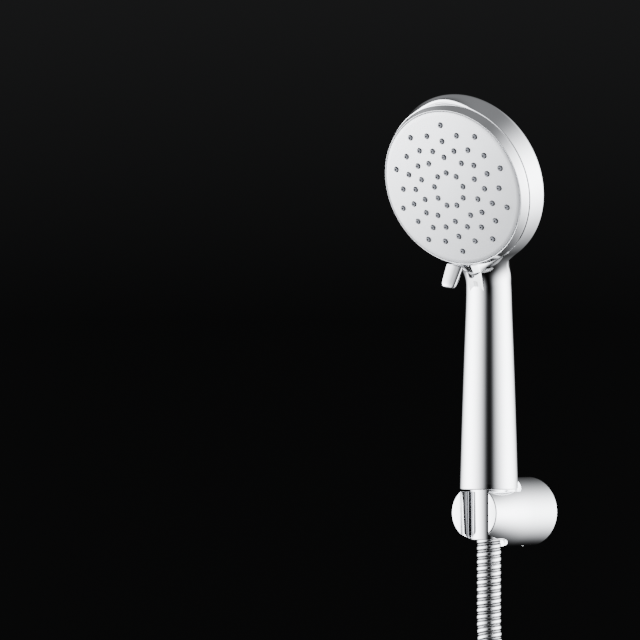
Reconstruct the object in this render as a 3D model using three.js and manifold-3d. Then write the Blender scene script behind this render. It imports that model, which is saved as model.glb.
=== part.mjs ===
// Handheld shower head on its wall bracket, with its metal hose.
//
// Frame, in millimetres: the origin is the centre of the bracket's wall face, +Y runs into the wall,
// +Z is up and +X is to the right of someone who faces the wall. The handset's handle stands upright
// in the bracket's conical socket, and its spray face looks away from the wall and down.
// Head pieces are drawn in a frame of their own: x is the row's X, y runs up the spray face, and z is
// the spray face's outward normal, with z = 0 in the plane of the face's rim.

import * as THREE from 'three';
import { mergeVertices } from 'three/addons/utils/BufferGeometryUtils.js';
import Module from 'manifold-3d';

const wasm = await Module();
wasm.setup();

// ---------------------------------------------------------------------------------------------
// Driving dimensions
// ---------------------------------------------------------------------------------------------

const GAP = 0.3;                    // between pieces that touch or are cut by each other
const SLACK = 0.4;                  // between pieces that turn or slide on each other
const OVERRUN = 2;                  // how far a cutting tool runs past the face that it opens
const ROUND = 40;                   // facets round a large turned piece
const ROUND_MEDIUM = 28;            // facets round the waterway's and the hose's fittings
const ROUND_SMALL = 16;             // facets round a small turned piece
const SEAL_SIDES = 6;               // facets round the section of an O-ring
const COIL_FACETS = 48;             // facets round the hose's coil
const OUTER_STEPS = { handle: 6, fan: 20 };  // outlines up the shell's outside
const INNER_STEPS = { handle: 4, fan: 18 };  // outlines up its inside
const FAN_CROWDING = 1.7;           // above 1, the fan's outlines crowd towards the head's rim
const FAN_WIDENING = 1.5;           // how late the fan's start points move out from the neck
const HALVINGS = 30;                // of the ray that finds a point of the shell

const bracket = {
  length: 62.8,                     // wall face to front face
  wallRadius: 22.1,
  frontRadius: 17.1,
  straight: 26,                     // cylindrical stretch at the wall, before the barrel narrows
  edge: 0.8,                        // rounding of the front and wall edges
  barrelSteps: 9,
  cavityRadius: 17.5,               // hollow that drops over the wall plate
  cavityDepth: 19,
  handleOut: 45.7,                  // wall face to the handle's axis
  slotWidth: 21,                    // lets the hose in, and keeps the nut from coming out
  slotFlare: 0.7,
  seatMargin: 2.3,                  // round the handle's rim, in the flat seat that is cut for it
  seatBelow: 1.3,                   // from the handle's rim down to that seat
};

const wallPlate = { thickness: 14, screwPitch: 18, screwRadius: 2, headRadius: 3.9, headHeight: 2.6 };
const screwSlot = { width: 1, depth: 1 };
const grubScrew = {
  radius: 2.4, out: 10.5, socketRadius: 1.2, socketDepth: 2.6, grooveDepth: 1.6, point: 1, sunk: 1,
};

const handle = {
  bottom: 14.7,                     // height of the handle's lower rim
  bottomRadius: 18.6,
  middleRadius: 16.7,
  neckRadius: 14.2,
  neckRounding: 1,                  // over which the taper runs out into the neck
  wall: 2.6,
  rimEdge: 0.6,
  leanBelow: 6,                     // the axis starts to lean forward this far below the neck
  leanRadius: 110,
  blend: 15,                        // reach of the smooth joint between the neck and the head
  facets: 32,
};

const head = {
  faceForward: 41.3,                // from the handle's axis to the centre of the spray face's rim
  faceHeight: 207.4,
  tilt: 17.6,                       // degrees that the face looks down
  faceRadius: 50.4,
  crown: 4.5,                       // how far the face swells at its centre
  grooveDepth: 6.8,                 // rim plane to the front edge of the housing
  grooveOver: 3.6,                  // how far that edge stands out past the face
  rimDepth: 17,                     // rim plane to the housing's widest place
  rimOver: 6.2,                     // how far the widest place stands out past the face
  rimRounding: 2,
  backHeight: 16,                   // the housing's dome behind its widest place
  backPower: 0.6,                   // 0.5 is an elliptical dome, and more is flatter at the edge
  neckBelow: 13,                    // from the face's lower edge down to the neck's narrowest place
};

const selector = {
  frontOver: 0.8,                   // how far the ring's front edge stands out past the face
  backOver: 3.2,
  grooveWidth: 0.5,                 // between the ring and the housing
  skirtOver: 0.4,
  skirtWall: 3.4,
  skirtEnd: 12.4,
  lipDepth: 5,
  edge: 0.4,
  lugs: 3,
  lugWidth: 6,
  lugDepth: 3.6,
  lugRoot: 1,
};

// The finger tab under the head: a tapered bar with a ridge down its front.
const lever = {
  angle: 11.5,                      // degrees from the lowest point of the ring
  lean: 36,
  length: 16,
  rootWidth: 12,
  tipWidth: 10,
  thickness: 4.5,
  ridge: 1.5,
  thinning: 0.25,                   // share of its thickness lost at the tip
  rootGap: 0.9,
  taper: [[0, 0.5], [0.82, 0.41], [0.95, 0.32], [1, 0.15]],  // [share of length, share of width]
};

const facePlate = { thickness: 1.6, skirt: 4.6, skirtWall: 1.6, edge: 0.5 };
const nozzle = {
  rootRadius: 1.45,
  tipRadius: 1.0,
  proud: 1.2,
  matThickness: 1.4,
  matMargin: 0.5,
  rimMargin: 8.5,                   // from the face's edge in to the outermost ring of nozzles
  pitchShare: 0.123,                // of the outermost ring's radius, between the staggered rings
  perRing: 10,
  rings: 5,
  innerShare: 0.265,                // the innermost ring's radius, of the outermost one's
  innerCount: 9,
  facets: 6,
};

const chamber = { back: 9.2, channelDepth: 3.4, channelWidth: 3.6, portRadius: 1.5, portStep: 60 };
const diverter = { front: 9.6, thickness: 3, boreRadius: 6.8, portRadius: 3.2, portRing: 20, portStep: 30 };
const bulkhead = {
  front: 13,
  thickness: 3,
  over: 0.6,                        // how far its edge stands out past the face
  postRadius: 6.4,
  bossRadius: 5,
  bossEnd: 22,
  channelDepth: 22,
  channelRadius: 5.2,
  channelBore: 3.6,
  channelTop: -12,
  channelMargin: 14.4,              // from the face's lower edge up to where the channel's socket starts
  socketRadius: 7.2,
  socketLength: 8,
};
const centreScrew = {
  headRadius: 3.6, headHeight: 2.4, radius: 1.5, tip: 18, headFront: 0.7, bevel: 0.7,
  crossLength: 4.4, crossWidth: 1,
};
const seal = { outer: 5.2, inner: 3.7, depth: 1.6 };

const thread = { radius: 9.9 };     // pitch radius of the G1/2 pipe thread
const inlet = { flangeTop: 30.6, flangeRadius: 12.8, radius: 11, top: 57, bore: 4.3, solidAbove: 5 };
const inletRing = { height: 44, width: 2.6, depth: 1.8, section: 0.85 };
const limiter = { radius: 5.8, bore: 2.2, height: 4 };

const tube = {
  outer: 5.5,
  inner: 4,
  engaged: 6.7,                     // length inside the inlet connector
  bend: [[0, -64], [0, -34], [0.3, -9], [1.9, 5]],  // [forward of the handle's axis, height over the neck]
  approach: 19,                     // where it straightens, before it enters the distributor
  dip: 0.4,
  sides: 12,
  steps: 18,
};

const hose = {
  diameter: 15.5,
  length: 1500,                     // overall, between the faces of its two end fittings
  turns: 2,
  turnGap: 0.7,
  sides: 10,
  runSteps: 16,                     // rings along the hanging stretch
};
const ferrule = { flangeRadius: 9.6, flangeHeight: 2.1, overHose: 0.25, bore: 4.2, bottom: -14 };
const swivelRing = { thickness: 1 };
const nut = { bottom: -17.5, top: 27, wall: 3.2, topRadius: 12.3, shoulder: 8.3, edge: 0.6 };
const washer = { thickness: 2, outer: 9.6, inner: 5.6 };
const screen = { thickness: 0.8 };
const tie = { width: 14, thickness: 2.4, play: 0.9, angle: -4 };
const endNut = { radius: 12.2, height: 17, edge: 0.8, lowerWall: 2.4 };
const endFerrule = { length: 21, flangeRadius: 9.4, flangeHeight: 2.2 };

// The hose's centreline down to where its coil begins, chosen by hand: sideways, away from the wall
// (negative) and up, from the centre of the upper ferrule's lower face.
const HOSE_ROUTE = [
  [0, 0, -0.3],
  [0, 0, -16],
  [0, 0, -32],
  [0, 0, -44],
  [0.28, -0.17, -60.47],
  [2.18, -0.66, -76.77],
  [6.88, -1.39, -92.54],
  [14.78, -2.33, -106.96],
  [25.34, -3.4, -119.52],
  [37.6, -4.56, -130.52],
  [50.4, -5.74, -140.89],
  [62.66, -6.9, -151.89],
  [73.22, -7.97, -164.44],
  [81.12, -8.91, -178.87],
  [85.82, -9.64, -194.63],
  [87.72, -10.13, -210.93],
  [88, -10.3, -227.41],
];

// ---------------------------------------------------------------------------------------------
// Sizes that follow from them
// ---------------------------------------------------------------------------------------------

const hoseRadius = hose.diameter / 2;
const ferruleRadius = hoseRadius + ferrule.overHose;
const nutLowerBore = ferruleRadius + SLACK;
const nutBottomRadius = nutLowerBore + nut.wall;
const seatHeight = handle.bottom - bracket.seatBelow;
const faceOut = bracket.handleOut + head.faceForward;
const grooveRadius = head.faceRadius + head.grooveOver;
const rimRadius = head.faceRadius + head.rimOver;
const neckHeight = head.faceHeight - head.faceRadius - head.neckBelow;
const leanStart = neckHeight - handle.leanBelow;
const hollowFrom = inlet.top + inlet.solidAbove;
const skirtOuter = head.faceRadius + selector.skirtOver;
const skirtInner = skirtOuter - selector.skirtWall;
const chamberRadius = skirtInner - SLACK;
const matRadius = head.faceRadius - facePlate.skirtWall - nozzle.matMargin;
const outerNozzles = head.faceRadius - nozzle.rimMargin;
const innerNozzles = outerNozzles * nozzle.innerShare;
const channelEnd = -(head.faceRadius - bulkhead.channelMargin);

// ---------------------------------------------------------------------------------------------
// Finishes
// ---------------------------------------------------------------------------------------------

const finish = (color, metalness, roughness) => ({ color, metalness, roughness });
const CHROME = finish(0xd9dce0, 1, 0.08);
const SATIN = finish(0xc9ccd2, 0.9, 0.35);
const SILICONE = finish(0x9a9ea6, 0, 0.6);
const RUBBER = finish(0x1c1c1e, 0, 0.7);
const WHITE_PLASTIC = finish(0xe6e6e2, 0, 0.5);
const BRASS = finish(0xc8a14d, 1, 0.3);
const STEEL = finish(0xb4b7bb, 1, 0.3);

// ---------------------------------------------------------------------------------------------
// Solids
// ---------------------------------------------------------------------------------------------

/** A closed geometry with shared vertices, no empty triangles and its faces pointing out. */
function closed(geometry) {
  const bare = geometry.clone();
  bare.deleteAttribute('normal');
  bare.deleteAttribute('uv');
  const merged = mergeVertices(bare, 1e-4);
  const corners = merged.index.array;
  const place = merged.attributes.position;
  const kept = [];
  let volume = 0;
  const [a, b, c] = [new THREE.Vector3(), new THREE.Vector3(), new THREE.Vector3()];
  for (let i = 0; i < corners.length; i += 3) {
    const [p, q, r] = [corners[i], corners[i + 1], corners[i + 2]];
    if (p === q || q === r || r === p) continue;
    kept.push(p, q, r);
    a.fromBufferAttribute(place, p);
    b.fromBufferAttribute(place, q);
    c.fromBufferAttribute(place, r);
    volume += a.dot(b.cross(c));
  }
  if (volume < 0) kept.reverse();
  merged.setIndex(kept);
  return merged;
}

function solid(geometry) {
  const mesh = closed(geometry);
  return new wasm.Manifold(new wasm.Mesh({
    numProp: 3,
    vertProperties: new Float32Array(mesh.attributes.position.array),
    triVerts: new Uint32Array(mesh.index.array),
  }));
}

function geometryOf(body) {
  const mesh = body.getMesh();
  const geometry = new THREE.BufferGeometry();
  geometry.setAttribute('position', new THREE.BufferAttribute(new Float32Array(mesh.vertProperties), 3));
  geometry.setIndex(new THREE.BufferAttribute(new Uint32Array(mesh.triVerts), 1));
  return geometry;
}

/** The first geometry with every one of the tools cut away. */
function cut(geometry, ...tools) {
  return geometryOf(tools.reduce((body, tool) => body.subtract(solid(tool)), solid(geometry)));
}

function join(geometry, ...others) {
  return geometryOf(others.reduce((body, other) => body.add(solid(other)), solid(geometry)));
}

/** A piece turned about Z from points [radius, height]. */
function turned(profile, facets = ROUND) {
  const points = profile.map(([r, z]) => new THREE.Vector2(r, z));
  return new THREE.LatheGeometry(points, facets).rotateX(Math.PI / 2);
}

/** A profile that closes on itself, so that the piece is hollow along its axis. */
function turnedRing(profile, facets = ROUND) {
  return turned([...profile, profile[0]], facets);
}

function rod(radius, from, to, facets = ROUND_SMALL) {
  return turned([[0, from], [radius, from], [radius, to], [0, to]], facets);
}

function pipe(inner, outer, from, to, facets = ROUND) {
  return turnedRing([[inner, from], [outer, from], [outer, to], [inner, to]], facets);
}

function block(width, depth, height, x, y, z) {
  return new THREE.BoxGeometry(width, depth, height).translate(x, y, z);
}

/** A round bar or tube wall swept along a curve. */
function swept(curve, radius, sides, steps) {
  const section = new THREE.Shape();
  for (let i = 0; i < sides; i++) {
    const turn = (2 * Math.PI * i) / sides;
    const [x, y] = [radius * Math.cos(turn), radius * Math.sin(turn)];
    if (i === 0) section.moveTo(x, y);
    else section.lineTo(x, y);
  }
  return new THREE.ExtrudeGeometry(section, { steps, extrudePath: curve, curveSegments: 1 });
}

const degrees = THREE.MathUtils.degToRad;
const root = new THREE.Group();
const headGroup = new THREE.Group();
headGroup.position.set(0, -faceOut, head.faceHeight);
headGroup.rotation.x = degrees(90 + head.tilt);
root.add(headGroup);

function add(name, geometry, look, group = root) {
  const mesh = new THREE.Mesh(closed(geometry), new THREE.MeshStandardMaterial(look));
  mesh.name = name;
  group.add(mesh);
  return mesh;
}

// ---------------------------------------------------------------------------------------------
// Wall bracket
// ---------------------------------------------------------------------------------------------

/** The nut's outer radius at a height, on its straight cone. */
function nutRadius(z) {
  const share = (z - nut.bottom) / (nut.top - nut.bottom);
  return nutBottomRadius + share * (nut.topRadius - nutBottomRadius);
}

/** The bracket's outer radius at a distance from the wall: a cylinder, then a circular barrel. */
function barrelRadius(out) {
  const run = bracket.length - bracket.straight;
  const drop = bracket.wallRadius - bracket.frontRadius;
  const arc = (run * run + drop * drop) / (2 * drop);
  const past = Math.max(0, out - bracket.straight);
  return bracket.wallRadius - arc + Math.sqrt(arc * arc - past * past);
}

function bracketBody() {
  const { length, edge, cavityRadius, cavityDepth, wallRadius, handleOut, barrelSteps: steps } = bracket;
  const seatRadius = handle.bottomRadius + bracket.seatMargin;
  const barrel = [];
  for (let i = 0; i <= steps; i++) {
    const out = bracket.straight + ((length - edge - bracket.straight) * i) / steps;
    barrel.push([barrelRadius(out), -out]);
  }
  const profile = [
    [0, -cavityDepth],
    [cavityRadius, -cavityDepth],
    [cavityRadius, 0],
    [wallRadius - edge / 2, 0],
    [wallRadius, -edge / 2],
    ...barrel,
    [barrelRadius(length) - edge, -length],
    [0, -length],
  ];
  const barrelSolid = new THREE.LatheGeometry(profile.map(([r, y]) => new THREE.Vector2(r, y)), ROUND);
  const low = -wallRadius - OVERRUN;
  const socket = turned([
    [0, low],
    [nutRadius(low) + GAP, low],
    [nutRadius(seatHeight + OVERRUN) + GAP, seatHeight + OVERRUN],
    [0, seatHeight + OVERRUN],
  ]).translate(0, -handleOut, 0);
  const seat = rod(seatRadius, seatHeight, wallRadius + OVERRUN, ROUND).translate(0, -handleOut, 0);
  const half = bracket.slotWidth / 2;
  const mouth = new THREE.Shape([
    new THREE.Vector2(-half, -handleOut),
    new THREE.Vector2(-half, bracket.slotFlare - length),
    new THREE.Vector2(-half - bracket.slotFlare - OVERRUN, -length - OVERRUN),
    new THREE.Vector2(half + bracket.slotFlare + OVERRUN, -length - OVERRUN),
    new THREE.Vector2(half, bracket.slotFlare - length),
    new THREE.Vector2(half, -handleOut),
  ]);
  const slot = new THREE.ExtrudeGeometry(mouth, { depth: seatHeight - low + OVERRUN, bevelEnabled: false });
  slot.translate(0, 0, low);
  const grubHole = rod(grubScrew.radius + GAP, low, -cavityRadius + OVERRUN).translate(0, -grubScrew.out, 0);
  return cut(barrelSolid, socket, seat, slot, grubHole);
}

/** The disc that is screwed to the wall, with a groove round it for the grub screw. */
function wallPlateBody() {
  const radius = bracket.cavityRadius - GAP;
  const groove = grubScrew.radius + GAP;
  const profile = [
    [0, 0],
    [radius, 0],
    [radius, -grubScrew.out + groove],
    [radius - grubScrew.grooveDepth, -grubScrew.out + groove / 2],
    [radius - grubScrew.grooveDepth, -grubScrew.out - groove / 2],
    [radius, -grubScrew.out - groove],
    [radius, -wallPlate.thickness],
    [0, -wallPlate.thickness],
  ];
  const disc = new THREE.LatheGeometry(profile.map(([r, y]) => new THREE.Vector2(r, y)), ROUND);
  return cut(disc, ...[-1, 1].flatMap((side) => [
    screwAlongY(wallPlate.screwRadius + GAP, -wallPlate.thickness - OVERRUN, OVERRUN, side),
    screwAlongY(wallPlate.headRadius + GAP, -wallPlate.thickness - OVERRUN, -screwHeadFrom(), side),
  ]));
}

/** How far from the wall the seat of a wall screw's head is. */
function screwHeadFrom() {
  return wallPlate.thickness - wallPlate.headHeight - 2 * GAP;
}

/** A round bar along Y between two depths, at the upper (side 1) or lower (side -1) wall screw. */
function screwAlongY(radius, from, to, side) {
  return new THREE.CylinderGeometry(radius, radius, to - from, ROUND_SMALL)
    .translate(0, (from + to) / 2, (side * wallPlate.screwPitch) / 2);
}

function wallScrew(side) {
  const seat = -screwHeadFrom() - GAP;
  const shank = screwAlongY(wallPlate.screwRadius, seat - screwSlot.depth, -GAP, side);
  const capHead = screwAlongY(wallPlate.headRadius, seat - wallPlate.headHeight, seat, side);
  const slotCut = block(screwSlot.width, 2 * screwSlot.depth, 2 * wallPlate.headRadius + OVERRUN, 0,
    seat - wallPlate.headHeight, (side * wallPlate.screwPitch) / 2);
  return cut(join(shank, capHead), slotCut);
}

function grubScrewBody() {
  const tip = -(bracket.cavityRadius - GAP - grubScrew.grooveDepth) - GAP;
  const tail = -bracket.wallRadius + grubScrew.sunk;
  const { radius, socketRadius, socketDepth, point } = grubScrew;
  const body = turned([
    [0, tail],
    [radius, tail],
    [radius, tip - point],
    [radius - point, tip],
    [0, tip],
  ], ROUND_SMALL);
  return cut(body, rod(socketRadius, tail - OVERRUN, tail + socketDepth, 6)).translate(0, -grubScrew.out, 0);
}

add('wall_bracket', bracketBody(), CHROME);
add('wall_plate', wallPlateBody(), BRASS);
add('wall_screw_upper', wallScrew(1), STEEL);
add('wall_screw_lower', wallScrew(-1), STEEL);
add('bracket_grub_screw', grubScrewBody(), STEEL);

// ---------------------------------------------------------------------------------------------
// Handle and head housing, one moulding
// ---------------------------------------------------------------------------------------------

const faceNormal = new THREE.Vector3(0, 0, 1).applyEuler(headGroup.rotation);
const faceUp = new THREE.Vector3(0, 1, 0).applyEuler(headGroup.rotation);

/** A point of the head's own frame, in the row's frame. */
function fromHead(x, y, z) {
  return new THREE.Vector3(x, y, z).applyEuler(headGroup.rotation).add(headGroup.position);
}

/** The larger of two numbers, rounded over where they come within a reach of each other. */
function smoothMax(a, b, reach) {
  const near = Math.max(reach - Math.abs(a - b), 0);
  return Math.max(a, b) + (near * near) / (4 * reach);
}

/** The handle's radius at a height: a parabola through three radii, held at the neck's above it. */
function handleRadius(z) {
  const { bottom, bottomRadius, middleRadius, neckRadius } = handle;
  const t = (z - bottom) / (neckHeight - bottom);
  const ends = bottomRadius * (1 - t) * (1 - 2 * t) + neckRadius * t * (2 * t - 1);
  const curve = ends + 4 * middleRadius * t * (1 - t);
  return smoothMax(curve, neckRadius, handle.neckRounding);
}

/** How far the neck's axis has leaned forward of the handle's at a height. */
function lean(z) {
  const past = Math.max(0, z - leanStart);
  return (past * past) / (2 * handle.leanRadius);
}

/** Below zero inside the handle and the neck, in millimetres near their surface. */
function handleField(p) {
  return Math.hypot(p.x, p.y + bracket.handleOut + lean(p.z)) - handleRadius(p.z);
}

/** Below zero inside the head's housing: a flared band in front, and a flattened dome behind. */
function headField(p) {
  const offset = p.clone().sub(headGroup.position);
  const depth = -offset.dot(faceNormal);
  const radius = Math.hypot(offset.x, offset.dot(faceUp));
  const flare = (rimRadius - grooveRadius) / (head.rimDepth - head.grooveDepth);
  const band = radius - (grooveRadius + flare * (depth - head.grooveDepth));
  const reach = Math.min(1, radius / (rimRadius + 1));
  const dome = depth - head.rimDepth - head.backHeight * Math.pow(1 - reach * reach, head.backPower);
  return smoothMax(band, dome, head.rimRounding);
}

function shellField(p) {
  return -smoothMax(-handleField(p), -headField(p), handle.blend);
}

/**
 * The outline of the shell, or of a surface at a depth inside it, in one plane that holds the X
 * direction. Each point is found along its ray from the start point by halving.
 */
function outline(start, across, depth, count) {
  const ring = [];
  for (let i = 0; i < count; i++) {
    const turn = (2 * Math.PI * i) / count;
    const ray = across.clone().multiplyScalar(Math.sin(turn)).add(new THREE.Vector3(Math.cos(turn), 0, 0));
    let [inside, outside] = [0, 1.5 * head.faceRadius];
    for (let k = 0; k < HALVINGS; k++) {
      const middle = (inside + outside) / 2;
      const value = shellField(start.clone().addScaledVector(ray, middle));
      if (value + depth < 0) inside = middle;
      else outside = middle;
    }
    ring.push(start.clone().addScaledVector(ray, inside));
  }
  return ring;
}

/** A solid through a row of rings with the same number of points, closed by a fan at each end. */
function lofted(rings) {
  const count = rings[0].length;
  const points = rings.flat();
  const faces = [];
  for (let k = 0; k + 1 < rings.length; k++) {
    for (let i = 0; i < count; i++) {
      const j = (i + 1) % count;
      const [a, b, c, d] = [k * count + i, k * count + j, (k + 1) * count + i, (k + 1) * count + j];
      faces.push(a, b, c, b, d, c);
    }
  }
  for (const [first, flip] of [[0, true], [(rings.length - 1) * count, false]]) {
    const middle = points.length;
    const ring = points.slice(first, first + count);
    points.push(ring.reduce((sum, p) => sum.add(p), new THREE.Vector3()).divideScalar(count));
    for (let i = 0; i < count; i++) {
      const j = (i + 1) % count;
      if (flip) faces.push(middle, first + j, first + i);
      else faces.push(middle, first + i, first + j);
    }
  }
  const geometry = new THREE.BufferGeometry().setFromPoints(points);
  geometry.setIndex(faces);
  return geometry;
}

/**
 * The planes that carry the shell's outlines: level ones up the handle, then a fan that swings
 * from level to the housing's front plane about the place where the neck meets the head.
 */
function stations(fromHeight, handleSteps, fanSteps) {
  const list = [];
  for (let i = 0; i < handleSteps; i++) {
    const z = fromHeight + ((neckHeight - fromHeight) * i) / handleSteps;
    const start = new THREE.Vector3(0, -bracket.handleOut - lean(z), z);
    list.push({ start, across: new THREE.Vector3(0, 1, 0) });
  }
  const throat = new THREE.Vector3(0, -bracket.handleOut - handle.neckRadius, neckHeight);
  const front = fromHead(0, -grooveRadius, -head.grooveDepth);
  for (let i = 0; i <= fanSteps; i++) {
    const t = 1 - Math.pow(1 - i / fanSteps, FAN_CROWDING);
    const swing = degrees((90 + head.tilt) * t);
    const across = new THREE.Vector3(0, Math.cos(swing), Math.sin(swing));
    const reach = handle.neckRadius + (grooveRadius - handle.neckRadius) * Math.pow(t, FAN_WIDENING);
    list.push({ start: throat.clone().lerp(front, t).addScaledVector(across, reach), across });
  }
  return list;
}

function handleShell() {
  const { bottom, rimEdge, wall, facets } = handle;
  const outer = stations(bottom + rimEdge, OUTER_STEPS.handle, OUTER_STEPS.fan)
    .map(({ start, across }) => outline(start, across, 0, facets));
  const rim = outer[0].map((p) => {
    const trim = (handle.bottomRadius - rimEdge) / handle.bottomRadius;
    return new THREE.Vector3(p.x * trim, -bracket.handleOut + (p.y + bracket.handleOut) * trim, bottom);
  });
  const inner = stations(hollowFrom, INNER_STEPS.handle, INNER_STEPS.fan)
    .map(({ start, across }) => outline(start, across, wall, facets));
  inner.push(inner[inner.length - 1].map((p) => p.clone().addScaledVector(faceNormal, OVERRUN)));
  const recess = rod(inlet.flangeRadius + GAP, bottom - OVERRUN, inlet.flangeTop + GAP, ROUND)
    .translate(0, -bracket.handleOut, 0);
  const bore = rod(inlet.radius + GAP, inlet.flangeTop, hollowFrom + OVERRUN, ROUND)
    .translate(0, -bracket.handleOut, 0);
  return cut(lofted([rim, ...outer]), lofted(inner), recess, bore);
}

add('handle_shell', handleShell(), CHROME);

// ---------------------------------------------------------------------------------------------
// Waterway in the handle
// ---------------------------------------------------------------------------------------------

const onHandle = (geometry) => geometry.translate(0, -bracket.handleOut, 0);

function inletConnector() {
  const { flangeTop, flangeRadius, radius, top, bore } = inlet;
  const { bottom } = handle;
  const tubeBottom = top - tube.engaged;
  const ring = [inletRing.height - inletRing.width / 2, inletRing.height + inletRing.width / 2];
  const seat = bottom + limiter.height + GAP;
  const socket = tube.outer + GAP;
  return onHandle(turnedRing([
    [limiter.radius + GAP, bottom],
    [thread.radius, bottom],
    [thread.radius, nut.top + SLACK],
    [flangeRadius, nut.top + SLACK],
    [flangeRadius, flangeTop],
    [radius, flangeTop],
    [radius, ring[0]],
    [radius - inletRing.depth, ring[0]],
    [radius - inletRing.depth, ring[1]],
    [radius, ring[1]],
    [radius, top],
    [socket + seal.depth, top],
    [socket + seal.depth, top - 2 * seal.depth],
    [socket, top - 2 * seal.depth],
    [socket, tubeBottom - GAP],
    [bore, tubeBottom - GAP],
    [bore, seat],
    [limiter.radius + GAP, seat],
  ], ROUND_MEDIUM));
}

function torus(ringRadius, section, height) {
  return new THREE.TorusGeometry(ringRadius, section, SEAL_SIDES, ROUND_MEDIUM).translate(0, 0, height);
}

const inletRingRadius = (inlet.radius - inletRing.depth + inlet.radius + GAP) / 2;
add('inlet_connector', inletConnector(), WHITE_PLASTIC);
add('inlet_o_ring', onHandle(torus(inletRingRadius, inletRing.section, inletRing.height)), RUBBER);
add('flow_limiter', onHandle(pipe(limiter.bore, limiter.radius, handle.bottom + GAP,
  handle.bottom + limiter.height, ROUND_SMALL)), WHITE_PLASTIC);
add('tube_seal', onHandle(pipe(tube.outer + GAP, tube.outer + seal.depth, inlet.top + GAP - 2 * seal.depth,
  inlet.top - GAP, ROUND_SMALL)), RUBBER);

/** The tube's centreline: up the handle's axis, then over into the head's inlet socket. */
function tubeCurve() {
  const onAxis = (forward, z) => new THREE.Vector3(0, -bracket.handleOut - forward, z);
  const socketEnd = channelEnd - GAP;
  return new THREE.CatmullRomCurve3([
    onAxis(0, inlet.top - tube.engaged),
    ...tube.bend.map(([forward, over]) => onAxis(forward, neckHeight + over)),
    fromHead(0, socketEnd - tube.approach, -bulkhead.channelDepth - tube.dip),
    fromHead(0, socketEnd - bulkhead.socketLength, -bulkhead.channelDepth),
    fromHead(0, socketEnd, -bulkhead.channelDepth),
  ]);
}

add('waterway_tube', cut(swept(tubeCurve(), tube.outer, tube.sides, tube.steps),
  swept(longer(tubeCurve()), tube.inner, tube.sides, tube.steps)), WHITE_PLASTIC);

/** The same curve with its two ends run on, for a bore that opens both ends of a tube. */
function longer(curve) {
  const points = curve.points.map((p) => p.clone());
  const last = points.length - 1;
  points[0].addScaledVector(curve.getTangent(0), -1);
  points[last].addScaledVector(curve.getTangent(1), 1);
  return new THREE.CatmullRomCurve3(points);
}

// ---------------------------------------------------------------------------------------------
// Head: bulkhead, diverter, spray chamber, face and nozzles
// ---------------------------------------------------------------------------------------------

/** Height of the face's outer surface above its rim plane. */
function crownHeight(radius) {
  return head.crown * (1 - (radius / head.faceRadius) ** 2);
}

/** Points of a dome's outline from the axis out to a radius, lowered by a depth. */
function crownProfile(radius, depth, steps = 5) {
  return Array.from({ length: steps + 1 }, (_, i) => {
    const r = (radius * i) / steps;
    return [r, crownHeight(r) - depth];
  });
}

/** A round bar along the head's y axis. */
function barAlongFace(radius, from, to, depth) {
  return new THREE.CylinderGeometry(radius, radius, to - from, ROUND_MEDIUM)
    .translate(0, (from + to) / 2, -depth);
}

function distributor() {
  const b = bulkhead;
  const back = b.front + b.thickness;
  const edge = head.faceRadius + b.over;
  const disc = turned([
    [0, -b.bossEnd],
    [b.bossRadius, -b.bossEnd],
    [b.bossRadius, -back],
    [edge, -back],
    [edge, -b.front],
    [b.postRadius, -b.front],
    [b.postRadius, -chamber.back - GAP],
    [0, -chamber.back - GAP],
  ]);
  const depth = b.channelDepth;
  const channel = barAlongFace(b.channelRadius, channelEnd + GAP, b.channelTop, depth);
  const socket = barAlongFace(b.socketRadius, channelEnd - b.socketLength, channelEnd + OVERRUN, depth);
  const bore = barAlongFace(b.channelBore, channelEnd - OVERRUN, b.channelTop - OVERRUN, depth);
  const mouth = barAlongFace(tube.outer + GAP, channelEnd - b.socketLength - OVERRUN, channelEnd, depth);
  const port = rod(b.channelBore, -b.channelDepth, 0).translate(0, -diverter.portRing, 0);
  const sealSeat = rod(seal.outer + GAP, -b.front - seal.depth, 0).translate(0, -diverter.portRing, 0);
  const screwHole = rod(centreScrew.radius + GAP, -centreScrew.tip - GAP, 0);
  return cut(join(disc, channel, socket), bore, mouth, port, sealSeat, screwHole);
}

const diverterBack = diverter.front + diverter.thickness;

/** The ring's drive lugs between two depths, or with play the notches that they turn the disc by. */
function driveLugs(play, front, back) {
  const inner = skirtInner - selector.lugDepth - play;
  const outer = skirtInner + selector.lugRoot;
  return Array.from({ length: selector.lugs }, (_, i) => (
    block(outer - inner, selector.lugWidth + 2 * play, back - front, 0, 0, 0)
      .translate((inner + outer) / 2, 0, -(front + back) / 2)
      .rotateZ((2 * Math.PI * i) / selector.lugs + Math.PI / 2)
  ));
}

function diverterDisc() {
  const disc = pipe(diverter.boreRadius, skirtInner - GAP, -diverterBack, -diverter.front);
  const ports = [-1, 0, 1].map((step) => {
    const turn = degrees(-90 + step * diverter.portStep);
    return rod(diverter.portRadius, -diverterBack - OVERRUN, -diverter.front + OVERRUN)
      .translate(diverter.portRing * Math.cos(turn), diverter.portRing * Math.sin(turn), 0);
  });
  return cut(disc, ...ports, ...driveLugs(GAP, diverter.front - OVERRUN, diverterBack + OVERRUN));
}

/** The radii of the nozzle rings, from the outermost to the innermost of the staggered ones. */
function ringRadii() {
  return Array.from({ length: nozzle.rings }, (_, k) => outerNozzles * (1 - k * nozzle.pitchShare));
}

/** Where the nozzles stand: staggered rings of ten, and an inner ring of nine. */
function nozzlePlaces() {
  const places = [];
  ringRadii().forEach((radius, k) => {
    for (let i = 0; i < nozzle.perRing; i++) {
      const turn = (2 * Math.PI * (i + (k % 2 === 0 ? 0.5 : 0))) / nozzle.perRing;
      places.push([radius, turn]);
    }
  });
  for (let i = 0; i < nozzle.innerCount; i++) {
    places.push([innerNozzles, (2 * Math.PI * i) / nozzle.innerCount + Math.PI / 2]);
  }
  return places;
}

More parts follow.
